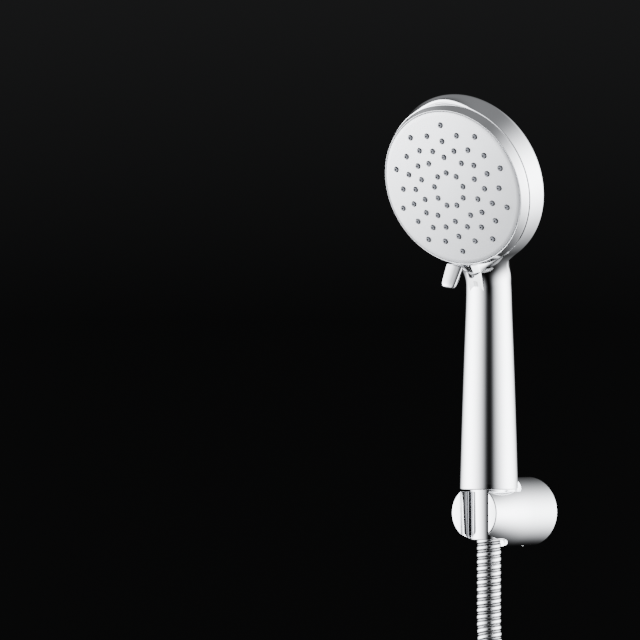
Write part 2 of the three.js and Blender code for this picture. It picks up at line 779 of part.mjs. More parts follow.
function sprayChamber() {
  const top = facePlate.thickness + nozzle.matThickness + 2 * GAP;
  const profile = [[0, crownHeight(0) - top]];
  const half = chamber.channelWidth / 2;
  for (const radius of [innerNozzles, ...ringRadii().reverse()]) {
    const walls = [radius - half, radius + half];
    const floor = crownHeight(radius) - top - chamber.channelDepth;
    profile.push([walls[0], crownHeight(walls[0]) - top], [walls[0], floor]);
    profile.push([walls[1], floor], [walls[1], crownHeight(walls[1]) - top]);
  }
  profile.push([chamberRadius, crownHeight(chamberRadius) - top]);
  profile.push([chamberRadius, -chamber.back], [0, -chamber.back]);
  const ports = [innerNozzles, ...ringRadii()].map((radius, i) => {
    const turn = degrees(-90 + chamber.portStep * i);
    return rod(chamber.portRadius, -chamber.back - OVERRUN, -chamber.channelDepth)
      .translate(radius * Math.cos(turn), radius * Math.sin(turn), 0);
  });
  const headSeat = centreScrew.headFront - centreScrew.headHeight - GAP;
  const screwHole = rod(centreScrew.radius + GAP, -chamber.back - OVERRUN, OVERRUN);
  const screwSeat = rod(centreScrew.headRadius + GAP, headSeat, head.crown);
  return cut(turned(profile, ROUND_MEDIUM), ...ports, screwHole, screwSeat);
}

function centreScrewBody() {
  const { headRadius, headHeight, radius, tip, headFront, bevel, crossLength, crossWidth } = centreScrew;
  const seat = headFront - headHeight;
  const body = turned([
    [0, -tip],
    [radius, -tip],
    [radius, seat],
    [headRadius, seat],
    [headRadius, headFront - bevel],
    [headRadius - bevel, headFront],
    [0, headFront],
  ], ROUND_SMALL);
  const arms = [[crossWidth, crossLength], [crossLength, crossWidth]];
  return cut(body, ...arms.map(([width, height]) => block(width, height, headHeight, 0, 0, headFront)));
}

function nozzleMat() {
  const top = facePlate.thickness + GAP;
  const outer = crownProfile(matRadius, top);
  const under = crownProfile(matRadius, top + nozzle.matThickness).reverse();
  const mat = turned([...outer, ...under]);
  const tips = nozzlePlaces().map(([radius, turn]) => {
    const surface = crownHeight(radius);
    const root = surface - top - nozzle.matThickness / 2;
    return turned([[0, root], [nozzle.rootRadius, root], [nozzle.tipRadius, surface + nozzle.proud],
      [0, surface + nozzle.proud]], nozzle.facets)
      .translate(radius * Math.cos(turn), radius * Math.sin(turn), 0);
  });
  return join(mat, ...tips);
}

function facePlateBody() {
  const { thickness, skirt, skirtWall, edge } = facePlate;
  const outer = crownProfile(head.faceRadius - edge, 0);
  const under = crownProfile(head.faceRadius - skirtWall - edge, thickness).reverse();
  const plate = turned([
    ...outer,
    [head.faceRadius, -edge],
    [head.faceRadius, -skirt],
    [head.faceRadius - skirtWall, -skirt],
    [head.faceRadius - skirtWall, -thickness - edge],
    ...under,
  ]);
  const holes = nozzlePlaces().map(([radius, turn]) =>
    rod(nozzle.rootRadius + GAP, -thickness - OVERRUN, head.crown + OVERRUN, nozzle.facets)
      .translate(radius * Math.cos(turn), radius * Math.sin(turn), 0));
  return cut(plate, ...holes);
}

function selectorRing() {
  const { frontOver, backOver, grooveWidth, edge, skirtEnd, lipDepth } = selector;
  const back = head.grooveDepth - grooveWidth;
  const inner = head.faceRadius + GAP;
  const backRadius = head.faceRadius + backOver;
  const ring = turnedRing([
    [inner, -GAP],
    [head.faceRadius + frontOver, 0],
    [backRadius, -back + edge],
    [backRadius - edge, -back],
    [skirtOuter, -back],
    [skirtOuter, -skirtEnd],
    [skirtInner, -skirtEnd],
    [skirtInner, -lipDepth],
    [inner, -lipDepth],
  ]);
  return join(ring, ...driveLugs(0, diverter.front + GAP, skirtEnd));
}

/** The finger tab, hung from the ring's rim and leaning back towards the handle. */
function leverBody() {
  const { length, rootWidth, tipWidth, thickness, ridge, thinning, taper } = lever;
  const rings = taper.map(([share, halfShare]) => {
    const half = halfShare * (rootWidth + (tipWidth - rootWidth) * share);
    const thick = (thickness / 2) * (1 - thinning * share);
    return [[-half, -thick], [half, -thick], [half, thick - ridge], [0, thick], [-half, thick - ridge]]
      .map(([x, z]) => new THREE.Vector3(x, -share * length, z));
  });
  const ringRadius = head.faceRadius + (selector.frontOver + selector.backOver) / 2 + lever.rootGap;
  return lofted(rings)
    .rotateX(-degrees(lever.lean))
    .translate(0, -ringRadius, -(head.grooveDepth - selector.grooveWidth) / 2)
    .rotateZ(-degrees(lever.angle));
}

add('distributor', distributor(), WHITE_PLASTIC, headGroup);
add('diverter_seal', pipe(seal.inner, seal.outer, -bulkhead.front - seal.depth + GAP, -diverterBack - GAP,
  ROUND_SMALL).translate(0, -diverter.portRing, 0), RUBBER, headGroup);
add('diverter_disc', diverterDisc(), WHITE_PLASTIC, headGroup);
add('spray_chamber', sprayChamber(), WHITE_PLASTIC, headGroup);
add('centre_screw', centreScrewBody(), STEEL, headGroup);
add('nozzle_mat', nozzleMat(), SILICONE, headGroup);
add('face_plate', facePlateBody(), SATIN, headGroup);
add('selector_ring', selectorRing(), CHROME, headGroup);
add('selector_lever', leverBody(), CHROME, headGroup);

// ---------------------------------------------------------------------------------------------
// Hose end in the handset
// ---------------------------------------------------------------------------------------------

function conicalNut() {
  const { bottom, top, edge, shoulder } = nut;
  const bore = thread.radius + GAP;
  return onHandle(turnedRing([
    [nutLowerBore, bottom],
    [nutRadius(bottom) - edge, bottom],
    [nutRadius(bottom + edge), bottom + edge],
    [nutRadius(top - edge), top - edge],
    [nutRadius(top) - edge, top],
    [bore, top],
    [bore, shoulder],
    [nutLowerBore, shoulder],
  ]));
}

const washerTop = handle.bottom - GAP;
const washerBottom = washerTop - washer.thickness;
const flangeTop = washerBottom - GAP;
const flangeBottom = flangeTop - ferrule.flangeHeight;

function upperFerrule() {
  return onHandle(turnedRing([
    [ferrule.bore, ferrule.bottom],
    [ferruleRadius, ferrule.bottom],
    [ferruleRadius, flangeBottom],
    [ferrule.flangeRadius, flangeBottom],
    [ferrule.flangeRadius, flangeTop],
    [ferrule.bore, flangeTop],
  ], ROUND_MEDIUM));
}

add('conical_nut', conicalNut(), CHROME);
add('hose_washer', onHandle(pipe(washer.inner, washer.outer, washerBottom, washerTop, ROUND_MEDIUM)), RUBBER);
add('filter_screen', onHandle(rod(washer.inner - GAP, washerBottom + GAP,
  washerBottom + GAP + screen.thickness)), STEEL);
add('upper_ferrule', upperFerrule(), BRASS);
add('swivel_ring', onHandle(pipe(ferruleRadius + GAP, ferrule.flangeRadius,
  flangeBottom - GAP - swivelRing.thickness, flangeBottom - GAP, ROUND_MEDIUM)), WHITE_PLASTIC);

// ---------------------------------------------------------------------------------------------
// Hose: the hanging stretch, the coil that the spare length is put away in, and its far end
// ---------------------------------------------------------------------------------------------

const routeStart = new THREE.Vector3(0, -bracket.handleOut, ferrule.bottom);
const routePoints = HOSE_ROUTE.map((p) => new THREE.Vector3(...p).add(routeStart));
const route = new THREE.CatmullRomCurve3(routePoints);
const coilEntry = routePoints[routePoints.length - 1];
const coilCentreHeight = coilEntry.z;
const coilFront = coilEntry.y;
const coilRadius = coilEntry.x;
const turnPitch = hose.diameter + hose.turnGap;
const turnLength = Math.hypot(2 * Math.PI * coilRadius, turnPitch);
const coilBack = coilFront + hose.turns * turnPitch;

/** The spare length that is left, past the coil and the two ferrules, for the straight tail. */
const upperFitting = flangeTop - routePoints[0].z;
const fittings = upperFitting + endFerrule.length;
const tailLength = hose.length - fittings - route.getLength() - hose.turns * turnLength;
const ringOuter = coilRadius + hoseRadius;

/** How far down the tail's own line the hose has left the coil's ring. */
const tailClear = Math.sqrt((ringOuter + hoseRadius + GAP) ** 2 - coilRadius ** 2);

function hoseCoil() {
  const inner = coilRadius - hoseRadius;
  const [front, back] = [coilFront - hoseRadius, coilBack + hoseRadius];
  const flat = hoseRadius * (1 - Math.cos(Math.PI / 8));
  const corner = hoseRadius * (1 - Math.sin(Math.PI / 8));
  const profile = [
    [inner + flat, front + corner],
    [inner + corner, front + flat],
    [ringOuter - corner, front + flat],
    [ringOuter - flat, front + corner],
    [ringOuter - flat, back - corner],
    [ringOuter - corner, back - flat],
    [inner + corner, back - flat],
    [inner + flat, back - corner],
  ];
  const points = [...profile, profile[0]].map(([r, y]) => new THREE.Vector2(r, y));
  return new THREE.LatheGeometry(points, COIL_FACETS).translate(0, 0, coilCentreHeight);
}

/** The hanging stretch, cut off where it enters the ring that stands for the coil. */
function hoseRun() {
  const swell = hoseRadius + GAP;
  const ring = new THREE.LatheGeometry([
    [coilRadius - swell, coilFront - swell],
    [ringOuter + GAP, coilFront - swell],
    [ringOuter + GAP, coilBack + swell],
    [coilRadius - swell, coilBack + swell],
    [coilRadius - swell, coilFront - swell],
  ].map(([r, y]) => new THREE.Vector2(r, y)), COIL_FACETS).translate(0, 0, coilCentreHeight);
  const run = solid(swept(route, hoseRadius, hose.sides, hose.runSteps)).subtract(solid(ring));
  return geometryOf(run.decompose().sort((a, b) => b.volume() - a.volume())[0]);
}

const tailEnd = coilCentreHeight - tailLength;
const atTail = (geometry) => geometry.translate(coilRadius, coilBack, 0);

function hoseTail() {
  return atTail(rod(hoseRadius, tailEnd + GAP, coilCentreHeight - tailClear, hose.sides * 2));
}

function lowerFerrule() {
  const bottom = tailEnd - endFerrule.length;
  return atTail(turnedRing([
    [ferrule.bore, bottom],
    [endFerrule.flangeRadius, bottom],
    [endFerrule.flangeRadius, bottom + endFerrule.flangeHeight],
    [ferruleRadius, bottom + endFerrule.flangeHeight],
    [ferruleRadius, tailEnd],
    [ferrule.bore, tailEnd],
  ], ROUND_MEDIUM));
}

/** The union nut at the supply end, turned round with grip flats and open below. */
function supplyNut() {
  const flange = tailEnd - endFerrule.length + endFerrule.flangeHeight;
  const top = flange + GAP + endNut.lowerWall;
  const bottom = top - endNut.height;
  const body = turnedRing([
    [ferruleRadius + SLACK, top],
    [endNut.radius - endNut.edge, top],
    [endNut.radius, top - endNut.edge],
    [endNut.radius, bottom + endNut.edge],
    [endNut.radius - endNut.edge, bottom],
    [thread.radius + GAP, bottom],
    [thread.radius + GAP, flange + GAP],
    [ferruleRadius + SLACK, flange + GAP],
  ]);
  return atTail(body);
}

function supplyWasher() {
  const top = tailEnd - endFerrule.length - GAP;
  return atTail(pipe(washer.inner, washer.outer, top - washer.thickness, top, ROUND_MEDIUM));
}

/** A flat band buckled round the turns where the hose enters and leaves the coil. */
function hoseTie() {
  const inner = hoseRadius + tie.play;
  const outer = inner + tie.thickness;
  const [front, back] = [coilFront, coilBack];
  const loop = (reach) => {
    const shape = new THREE.Shape();
    shape.absarc(0, front, reach, Math.PI, 2 * Math.PI, false);
    shape.absarc(0, back, reach, 0, Math.PI, false);
    shape.closePath();
    return shape;
  };
  const band = loop(outer);
  band.holes.push(loop(inner));
  const options = { depth: tie.width, bevelEnabled: false, curveSegments: 10 };
  const geometry = new THREE.ExtrudeGeometry(band, options);
  return geometry.translate(coilRadius, 0, -tie.width / 2)
    .rotateY(-degrees(tie.angle))
    .translate(0, 0, coilCentreHeight);
}

add('hose_run', hoseRun(), STEEL);
add('hose_coil', hoseCoil(), STEEL);
add('hose_tail', hoseTail(), STEEL);
add('hose_tie', hoseTie(), RUBBER);
add('lower_ferrule', lowerFerrule(), BRASS);
add('supply_nut', supplyNut(), CHROME);
add('supply_washer', supplyWasher(), RUBBER);

export default root;
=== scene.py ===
"""Handheld shower head standing in its wall bracket, with its metal hose: the visual model.

Everything is in the part's own frame: the origin is the centre of the bracket's wall face, +Y runs
into the wall and +Z is up. Sizes are held in millimetres and become metres where a mesh is made.
"""

import logging
import math
from dataclasses import dataclass, field
from enum import Enum
from typing import Sequence

import bpy
import numpy as np
from mathutils import Matrix, Vector


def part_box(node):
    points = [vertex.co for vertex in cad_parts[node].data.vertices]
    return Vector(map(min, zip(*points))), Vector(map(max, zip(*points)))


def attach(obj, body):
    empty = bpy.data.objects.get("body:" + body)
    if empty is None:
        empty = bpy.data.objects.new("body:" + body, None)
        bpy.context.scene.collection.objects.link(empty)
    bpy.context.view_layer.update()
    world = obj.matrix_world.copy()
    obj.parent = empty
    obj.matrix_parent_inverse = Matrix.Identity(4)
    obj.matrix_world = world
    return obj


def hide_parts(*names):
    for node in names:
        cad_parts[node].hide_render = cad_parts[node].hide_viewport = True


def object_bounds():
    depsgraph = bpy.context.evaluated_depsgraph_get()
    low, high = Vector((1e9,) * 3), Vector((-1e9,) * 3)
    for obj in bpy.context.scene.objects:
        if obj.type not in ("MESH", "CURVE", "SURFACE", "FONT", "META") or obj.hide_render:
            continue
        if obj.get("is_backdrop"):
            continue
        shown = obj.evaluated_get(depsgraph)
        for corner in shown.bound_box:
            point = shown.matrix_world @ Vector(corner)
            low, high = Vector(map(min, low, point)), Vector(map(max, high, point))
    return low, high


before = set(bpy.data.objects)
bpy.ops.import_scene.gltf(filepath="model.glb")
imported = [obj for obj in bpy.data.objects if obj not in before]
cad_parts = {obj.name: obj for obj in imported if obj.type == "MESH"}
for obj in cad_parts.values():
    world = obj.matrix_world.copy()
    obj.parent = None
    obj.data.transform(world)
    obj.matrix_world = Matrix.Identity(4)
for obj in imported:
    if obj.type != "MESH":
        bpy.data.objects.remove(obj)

MM = 0.001
TURN = 2.0 * math.pi
log = logging.getLogger("shower")

Array = np.ndarray
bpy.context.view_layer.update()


class Body(Enum):
    """The bodies that pieces ride on."""

    BRACKET = "bracket"
    HOSE = "hose"
    HANDSET = "handset"
    SELECTOR = "selector"
    SUPPLY_UNION = "supply_union"


class Axis(Enum):
    """The direction that a turned piece's own axis takes."""

    UP = "up"
    FROM_WALL = "from_wall"
    OUT_OF_FACE = "out_of_face"


# Shared sizes


@dataclass(frozen=True)
class Stance:
    """Where the handset stands, in millimetres and degrees."""

    handle_out: float = 45.7
    face_forward: float = 41.3
    face_height: float = 207.4
    tilt: float = 17.6

    @property
    def face_centre(self) -> Array:
        """The centre of the spray face's rim."""
        return np.array([0.0, -self.handle_out - self.face_forward, self.face_height])

    @property
    def face_axes(self) -> Array:
        """The head's own axes.

        Returns:
            A matrix whose rows point across, up the face, and out of the face.
        """
        turn = math.radians(90.0 + self.tilt)
        up = [0.0, math.cos(turn), math.sin(turn)]
        out = [0.0, -math.sin(turn), math.cos(turn)]
        return np.array([[1.0, 0.0, 0.0], up, out])


STANCE = Stance()
HANDLE_FOOT = (0.0, -STANCE.handle_out, 0.0)


# Meshes


def bearings(count: int) -> Array:
    """Angles spaced evenly round a full turn, starting from zero."""
    return np.arange(count) * (TURN / count)


def grid_faces(rows: int, columns: int, closed_rows: bool = False) -> Array:
    """Quads between neighbours of a grid whose columns close round on themselves.

    Args:
        rows: Number of rings.
        columns: Number of points in each ring.
        closed_rows: Whether the last ring joins the first.

    Returns:
        Vertex numbers, of shape (faces, 4).
    """
    i = np.arange(rows if closed_rows else rows - 1)[:, None]
    j = np.arange(columns)[None, :]
    after_i, after_j = (i + 1) % rows, (j + 1) % columns
    quads = [i * columns + j, i * columns + after_j, after_i * columns + after_j, after_i * columns + j]
    return np.stack(np.broadcast_arrays(*quads), -1).reshape(-1, 4)


def fan_faces(centre: int, first: int, columns: int, flip: bool) -> Array:
    """Triangles from one pole to a ring.

    Args:
        centre: The pole's vertex number.
        first: The ring's first vertex number.
        columns: Number of points in the ring.
        flip: Whether the triangles run the other way round.

    Returns:
        Vertex numbers, of shape (columns, 4), with -1 in place of a fourth corner.
    """
    j = np.arange(columns)
    ring, after = first + j, first + (j + 1) % columns
    pole = np.full(columns, centre)
    corners = [pole, after, ring] if flip else [pole, ring, after]
    return np.stack([*corners, np.full(columns, -1)], -1)


@dataclass
class Surface:
    """Points in millimetres and the faces between them, quads or triangles padded with -1."""

    points: Array
    faces: Array

    def joined(self, other: "Surface") -> "Surface":
        """Both surfaces as one."""
        moved = np.where(other.faces < 0, -1, other.faces + len(self.points))
        return Surface(np.vstack([self.points, other.points]), np.vstack([self.faces, moved]))

    def signed_volume(self) -> float:
        """Sums a . (b x c) over the faces' triangles (a, b, c).

        Returns:
            Six times the volume that the faces enclose, negative where they face inwards.
        """
        fourth = np.where(self.faces[:, 3] < 0, self.faces[:, 0], self.faces[:, 3])
        a, b, c, d = (self.points[k] for k in (*self.faces[:, :3].T, fourth))
        first = np.einsum("ij,ij->i", a, np.cross(b, c)).sum()
        return float(first + np.einsum("ij,ij->i", a, np.cross(c, d)).sum())

    def outward(self) -> "Surface":
        """Turns the faces to point out.

        Returns:
            The same surface, or a flipped copy where its faces pointed in.
        """
        if self.signed_volume() >= 0:
            return self
        quads = self.faces[:, 3] >= 0
        flipped = self.faces.copy()
        flipped[quads] = flipped[quads][:, ::-1]
        flipped[~quads, 1], flipped[~quads, 2] = self.faces[~quads, 2], self.faces[~quads, 1]
        return Surface(self.points, flipped)

    def placed(self, axis: Axis, origin: Sequence[float] = (0.0, 0.0, 0.0)) -> "Surface":
        """Carries the surface from its own axes into the part's frame.

        Args:
            axis: The direction that its own z takes.
            origin: Where its own origin lies. OUT_OF_FACE uses the spray face's centre instead.

        Returns:
            The moved surface, facing out.
        """
        if axis is Axis.OUT_OF_FACE:
            return Surface(self.points @ STANCE.face_axes + STANCE.face_centre, self.faces).outward()
        x, y, z = self.points.T
        upright = self.points if axis is Axis.UP else np.stack([x, -z, y], -1)
        return Surface(upright + np.asarray(origin), self.faces).outward()

    def mesh(self, name: str) -> bpy.types.Mesh:
        """Makes a Blender mesh of the surface.

        Args:
            name: The mesh's name.

        Returns:
            The mesh, in metres.
        """
        quads = self.faces[:, 3] >= 0
        faces = self.faces[quads].tolist() + self.faces[~quads][:, :3].tolist()
        mesh = bpy.data.meshes.new(name)
        mesh.from_pydata((self.points * MM).tolist(), [], faces)
        mesh.update()
        return mesh


def capped(rings: Array, ends: Array) -> Surface:
    """Rings closed at both ends by a fan of triangles round a pole.

    Args:
        rings: The rings' points, of shape (rows, columns, 3).
        ends: The first and the last pole, of shape (2, 3).

    Returns:
        The closed surface.
    """
    rows, columns = rings.shape[:2]
    count = rows * columns
    faces = np.vstack([
        grid_faces(rows, columns),
        fan_faces(count, 0, columns, flip=True),
        fan_faces(count + 1, count - columns, columns, flip=False),
    ])
    return Surface(np.vstack([rings.reshape(-1, 3), ends]), faces).outward()


def turned(profile: Array, segments: int) -> Surface:
    """A surface of revolution about z.

    Each profile point (r, z) sweeps the ring (r cos a, r sin a, z). A profile that starts and ends
    on the axis gets one point at each pole; any other closes on itself.

    Args:
        profile: Points of (radius, height), of shape (n, 2).
        segments: Points round each ring.

    Returns:
        The closed surface.
    """
    angle = bearings(segments)
    poles = profile[0, 0] == 0.0 and profile[-1, 0] == 0.0
    rows = profile[1:-1] if poles else profile
    rings = np.stack(np.broadcast_arrays(
        rows[:, :1] * np.cos(angle), rows[:, :1] * np.sin(angle), rows[:, 1:2]), -1)
    if poles:
        return capped(rings, np.array([[0.0, 0.0, profile[0, 1]], [0.0, 0.0, profile[-1, 1]]]))
    return Surface(rings.reshape(-1, 3), grid_faces(len(rows), segments, closed_rows=True)).outward()


def cylinder(radius: float, low: float, high: float, segments: int) -> Surface:
    """A solid cylinder about z."""
    return turned(np.array([[0.0, low], [radius, low], [radius, high], [0.0, high]]), segments)


def eased(corners: Sequence[Sequence[float]], radius: float, steps: int) -> Array:
    """A closed outline with each corner rounded.

    At each corner P, with its neighbours' directions, the outline follows the curve
    (1-t)^2 A + 2t(1-t) P + t^2 B, where A and B lie one radius away from P along its two sides.

    Args:
        corners: The outline's corners.
        radius: How far from each corner its rounding starts.
        steps: Points along each rounding, less one.

    Returns:
        The rounded outline, of shape (n, 2).
    """
    place = np.asarray(corners, float)
    nearly_half = 0.45

    def towards(other: Array) -> Array:
        """The point one radius from each corner, or nearly half way where the side is short.

        Args:
            other: Each corner's neighbour on one side.

        Returns:
            The points, one per corner.
        """
        side = other - place
        reach = np.linalg.norm(side, axis=1, keepdims=True)
        return place + side * np.minimum(radius / reach, nearly_half)

    before, after = towards(np.roll(place, 1, 0)), towards(np.roll(place, -1, 0))
    t = np.linspace(0.0, 1.0, steps + 1)[None, :, None]
    curve = (1 - t) ** 2 * before[:, None] + 2 * t * (1 - t) * place[:, None] + t**2 * after[:, None]
    return curve.reshape(-1, 2)


def eased_solid(corners: Sequence[Sequence[float]], radius: float, steps: int) -> Array:
    """The outline of a turned piece with no bore: corners between the axis points are rounded."""
    whole = eased(corners, radius, steps)
    return np.vstack([corners[0], whole[steps + 1:-(steps + 1)], corners[-1]])


def along(line: Array) -> Array:
    """The distance run along a line of points, at each of them."""
    return np.concatenate([[0.0], np.cumsum(np.linalg.norm(np.diff(line, axis=0), axis=1))])


def through(points: Array, spacing: float) -> Array:
    """A smooth curve through points, evenly spaced along its length.

    Each span is a Catmull-Rom cubic of its two ends and their neighbours, and the result is read off
    at equal distances.

    Args:
        points: The points to pass through, of shape (n, 3).
        spacing: The distance between the points of the result.

    Returns:
        Points of shape (m, 3).
    """
    per_span = 40
    ends = np.vstack([2 * points[0] - points[1], points, 2 * points[-1] - points[-2]])
    t = np.linspace(0.0, 1.0, per_span, endpoint=False)[None, :, None]
    a, b, c, d = (ends[k:k + len(points) - 1, None] for k in range(4))
    cubic = 0.5 * (2 * b + (c - a) * t + (2 * a - 5 * b + 4 * c - d) * t**2 + (3 * b - a - 3 * c + d) * t**3)
    dense = np.vstack([cubic.reshape(-1, 3), points[-1:]])
    run = along(dense)
    steps = np.linspace(0.0, run[-1], max(2, int(round(run[-1] / spacing)) + 1))
    return np.stack([np.interp(steps, run, dense[:, k]) for k in range(3)], -1)


def smooth_max(a: Array, b: Array, reach: float) -> Array:
    """The larger of two fields, rounded over where they come within a reach of each other."""
    near = np.maximum(reach - np.abs(a - b), 0.0)
    return np.maximum(a, b) + near * near / (4.0 * reach)


# Pieces


def store_painted_shade(mesh: bpy.types.Mesh, amount: Array) -> None:
    """Stores the painted shade of each point, from 0 to 1: how far its colour is darkened to stand in for
    shade where it falls.
    """
    mesh.attributes.new("painted_shade", "FLOAT", "POINT").data.foreach_set("value", amount.astype(np.float32))


def dress(piece: bpy.types.Object, body: Body, material: bpy.types.Material,
          replaces: Sequence[str], sharp: float) -> None:
    """Gives a finished object its material, its shading and its body, and hides the CAD nodes that it
    replaces.

    Args:
        piece: The object.
        body: The body that it rides on.
        material: Its finish.
        replaces: The CAD nodes that it stands for.
        sharp: Edges that turn by more than this many degrees stay crisp.
    """
    bpy.context.scene.collection.objects.link(piece)
    piece.data.materials.clear()
    piece.data.materials.append(material)
    piece.data.shade_smooth()
    piece.data.set_sharp_from_angle(angle=math.radians(sharp))
    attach(piece, body.value)
    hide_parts(*replaces)
    log.info("%s: %d faces", piece.name, len(piece.data.polygons))


def make_piece(name: str, surface: Surface, body: Body, material: bpy.types.Material,
               replaces: Sequence[str], sharp: float, painted_shade: Array | None = None) -> bpy.types.Object:
    """Makes a mesh object from a surface and dresses it.

    Args:
        name: The piece's name.
        surface: Its closed surface.
        body: The body that it rides on.
        material: Its finish.
        replaces: The CAD nodes that it stands for.
        sharp: Edges that turn by more than this many degrees stay crisp.
        painted_shade: Painted shade at each point, from 0 to 1, darkening its colour where shade falls.

    Returns:
        The new object.
    """
    mesh = surface.mesh(name)
    # Painted shade: the mask, when given, is stored on the mesh to darken the colour.
    if painted_shade is not None:
        store_painted_shade(mesh, painted_shade)
    piece = bpy.data.objects.new(name, mesh)
    dress(piece, body, material, replaces, sharp)
    return piece


def carved(name: str, block: Surface, tools: Sequence[Surface]) -> bpy.types.Object:
    """A block with every tool's shape cut out of it.

    Args:
        name: The new object's name.
        block: What is cut.
        tools: The closed shapes that are taken away.

    Returns:
        The cut object, not yet dressed.
    """
    solids = []
    for index, surface in enumerate([block, *tools]):
        solids.append(bpy.data.objects.new(f"{name}_{index}", surface.mesh(f"{name}_{index}")))
        bpy.context.scene.collection.objects.link(solids[-1])
    base, *cutters = solids
    for cutter in cutters:
        cut = base.modifiers.new(cutter.name, "BOOLEAN")
        cut.operation = "DIFFERENCE"
        cut.solver = "EXACT"
        cut.object = cutter
    graph = bpy.context.evaluated_depsgraph_get()
    result = bpy.data.meshes.new_from_object(base.evaluated_get(graph))
    result.name = name
    for solid in solids:
        bpy.data.objects.remove(solid)
    return bpy.data.objects.new(name, result)


def soften(piece: bpy.types.Object, width: float, angle: float, segments: int) -> None:
    """Rounds a piece's crisp edges with a bevel.

    Args:
        piece: The object.
        width: The bevel's width in millimetres.
        angle: Edges that turn by more than this many degrees are rounded.
        segments: Faces across each rounding.
    """
    bevel = piece.modifiers.new("edges", "BEVEL")
    bevel.width = width * MM
    bevel.segments = segments
    bevel.limit_method = "ANGLE"
    bevel.angle_limit = math.radians(angle)
    bevel.harden_normals = False


def cad_box(node: str) -> tuple[Array, Array]:
    """The low and high corners of a CAD node's box, in millimetres."""
    low, high = (np.array(corner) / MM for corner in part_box(node))
    return low, high


# Finishes


def maths(tree: bpy.types.NodeTree, operation: str, *values: object) -> bpy.types.NodeSocket:
    """Adds a Math node.

    Args:
        tree: The tree that gets the node.
        operation: The node's operation.
        values: What feeds its inputs in order, each a socket or a number.

    Returns:
        Its output socket.
    """
    node = tree.nodes.new("ShaderNodeMath")
    node.operation = operation
    for socket, value in zip(node.inputs, values):
        if isinstance(value, (int, float)):
            socket.default_value = value
        else:
            tree.links.new(value, socket)
    return node.outputs[0]


def marks_and_painted_shade_group() -> bpy.types.NodeTree:
    """The clouding that handling and drying water leave on any hard surface, and painted shade.

    A slow noise clouds the roughness and the colour, and a fine one gives a height for a faint
    grain. Roughness is base + (cloud - 0.5) * spread, and at least 0.02; the colour is darkened by
    shade where the cloud is high, and by a painted shade mask that stands in for the shade in
    grooves, holes and gaps.

    Returns:
        The node group that every finish shares.
    """
    detail, least_roughness = 3.0, 0.02
    tree = bpy.data.node_groups.new("handling_marks_and_painted_shade", "ShaderNodeTree")
    numbers = {"Scale": 60.0, "Grain Scale": 900.0, "Roughness": 0.1, "Spread": 0.05, "Shade": 0.05,
               "Painted Shade": 0.0}
    for label, value in numbers.items():
        socket = tree.interface.new_socket(name=label, in_out="INPUT", socket_type="NodeSocketFloat")
        socket.default_value = value
    for label, way, kind in (("Color", "INPUT", "Color"), ("Color", "OUTPUT", "Color"),
                             ("Roughness", "OUTPUT", "Float"), ("Height", "OUTPUT", "Float")):
        tree.interface.new_socket(name=label, in_out=way, socket_type=f"NodeSocket{kind}")
    given, made = tree.nodes.new("NodeGroupInput"), tree.nodes.new("NodeGroupOutput")
    where = tree.nodes.new("ShaderNodeTexCoord")
    cloud, grain = tree.nodes.new("ShaderNodeTexNoise"), tree.nodes.new("ShaderNodeTexNoise")
    for noise, scale in ((cloud, "Scale"), (grain, "Grain Scale")):
        tree.links.new(where.outputs["Object"], noise.inputs["Vector"])
        tree.links.new(given.outputs[scale], noise.inputs["Scale"])
        noise.inputs["Detail"].default_value = detail
    above = maths(tree, "SUBTRACT", cloud.outputs["Fac"], 0.5)
    offset = maths(tree, "MULTIPLY", above, given.outputs["Spread"])
    rough = maths(tree, "ADD", given.outputs["Roughness"], offset)
    clouded = maths(tree, "MULTIPLY", cloud.outputs["Fac"], given.outputs["Shade"])
    kept = maths(tree, "SUBTRACT", 1.0, clouded)
    # Painted shade: the colour is also scaled by one less the painted shade mask, darkening it where shade
    # falls.
    unshaded_share = maths(tree, "SUBTRACT", 1.0, given.outputs["Painted Shade"])
    mix = tree.nodes.new("ShaderNodeMix")
    mix.data_type = "RGBA"
    mix.inputs["A"].default_value = (0.0, 0.0, 0.0, 1.0)
    for source, target in (
            (maths(tree, "MAXIMUM", rough, least_roughness), made.inputs["Roughness"]),
            (maths(tree, "MULTIPLY", kept, unshaded_share), mix.inputs["Factor"]),
            (given.outputs["Color"], mix.inputs["B"]), (mix.outputs["Result"], made.inputs["Color"]),
            (grain.outputs["Fac"], made.inputs["Height"])):
        tree.links.new(source, target)
    return tree


@dataclass(frozen=True)
class Finish:
    """One finish: its colour, gloss, and how much handling has marked it."""

    name: str
    color: tuple[float, float, float]
    metallic: float
    roughness: float
    spread: float
    shade: float
    cloud_scale: float = 45.0
    grain_scale: float = 1400.0
    grain: float = 0.02
    grain_height: float = 0.0002

    def build(self, marks_and_shade: bpy.types.NodeTree) -> bpy.types.Material:
        """Builds the material round the shared node group of handling clouding and painted shade.

        Args:
            marks_and_shade: The shared node group.

        Returns:
            The finished material.
        """
        material = bpy.data.materials.new(self.name)
        material.use_nodes = True
        tree = material.node_tree
        shader = tree.nodes["Principled BSDF"]
        group, bump = tree.nodes.new("ShaderNodeGroup"), tree.nodes.new("ShaderNodeBump")
        group.node_tree = marks_and_shade
        # Painted shade: reads the shade stored on the mesh, by which the group darkens the colour.
        painted_shading = tree.nodes.new("ShaderNodeAttribute")
        painted_shading.attribute_name = "painted_shade"
        for node, label, value in (
                (group, "Color", (*self.color, 1.0)), (group, "Scale", self.cloud_scale),
                (group, "Grain Scale", self.grain_scale), (group, "Roughness", self.roughness),
                (group, "Spread", self.spread), (group, "Shade", self.shade),
                (bump, "Strength", self.grain), (bump, "Distance", self.grain_height),
                (shader, "Metallic", self.metallic)):
            node.inputs[label].default_value = value
        for source, output, target, entry in (
                (painted_shading, "Fac", group, "Painted Shade"), (group, "Color", shader, "Base Color"),
                (group, "Roughness", shader, "Roughness"), (group, "Height", bump, "Height"),
                (bump, "Normal", shader, "Normal")):
            tree.links.new(source.outputs[output], target.inputs[entry])
        return material


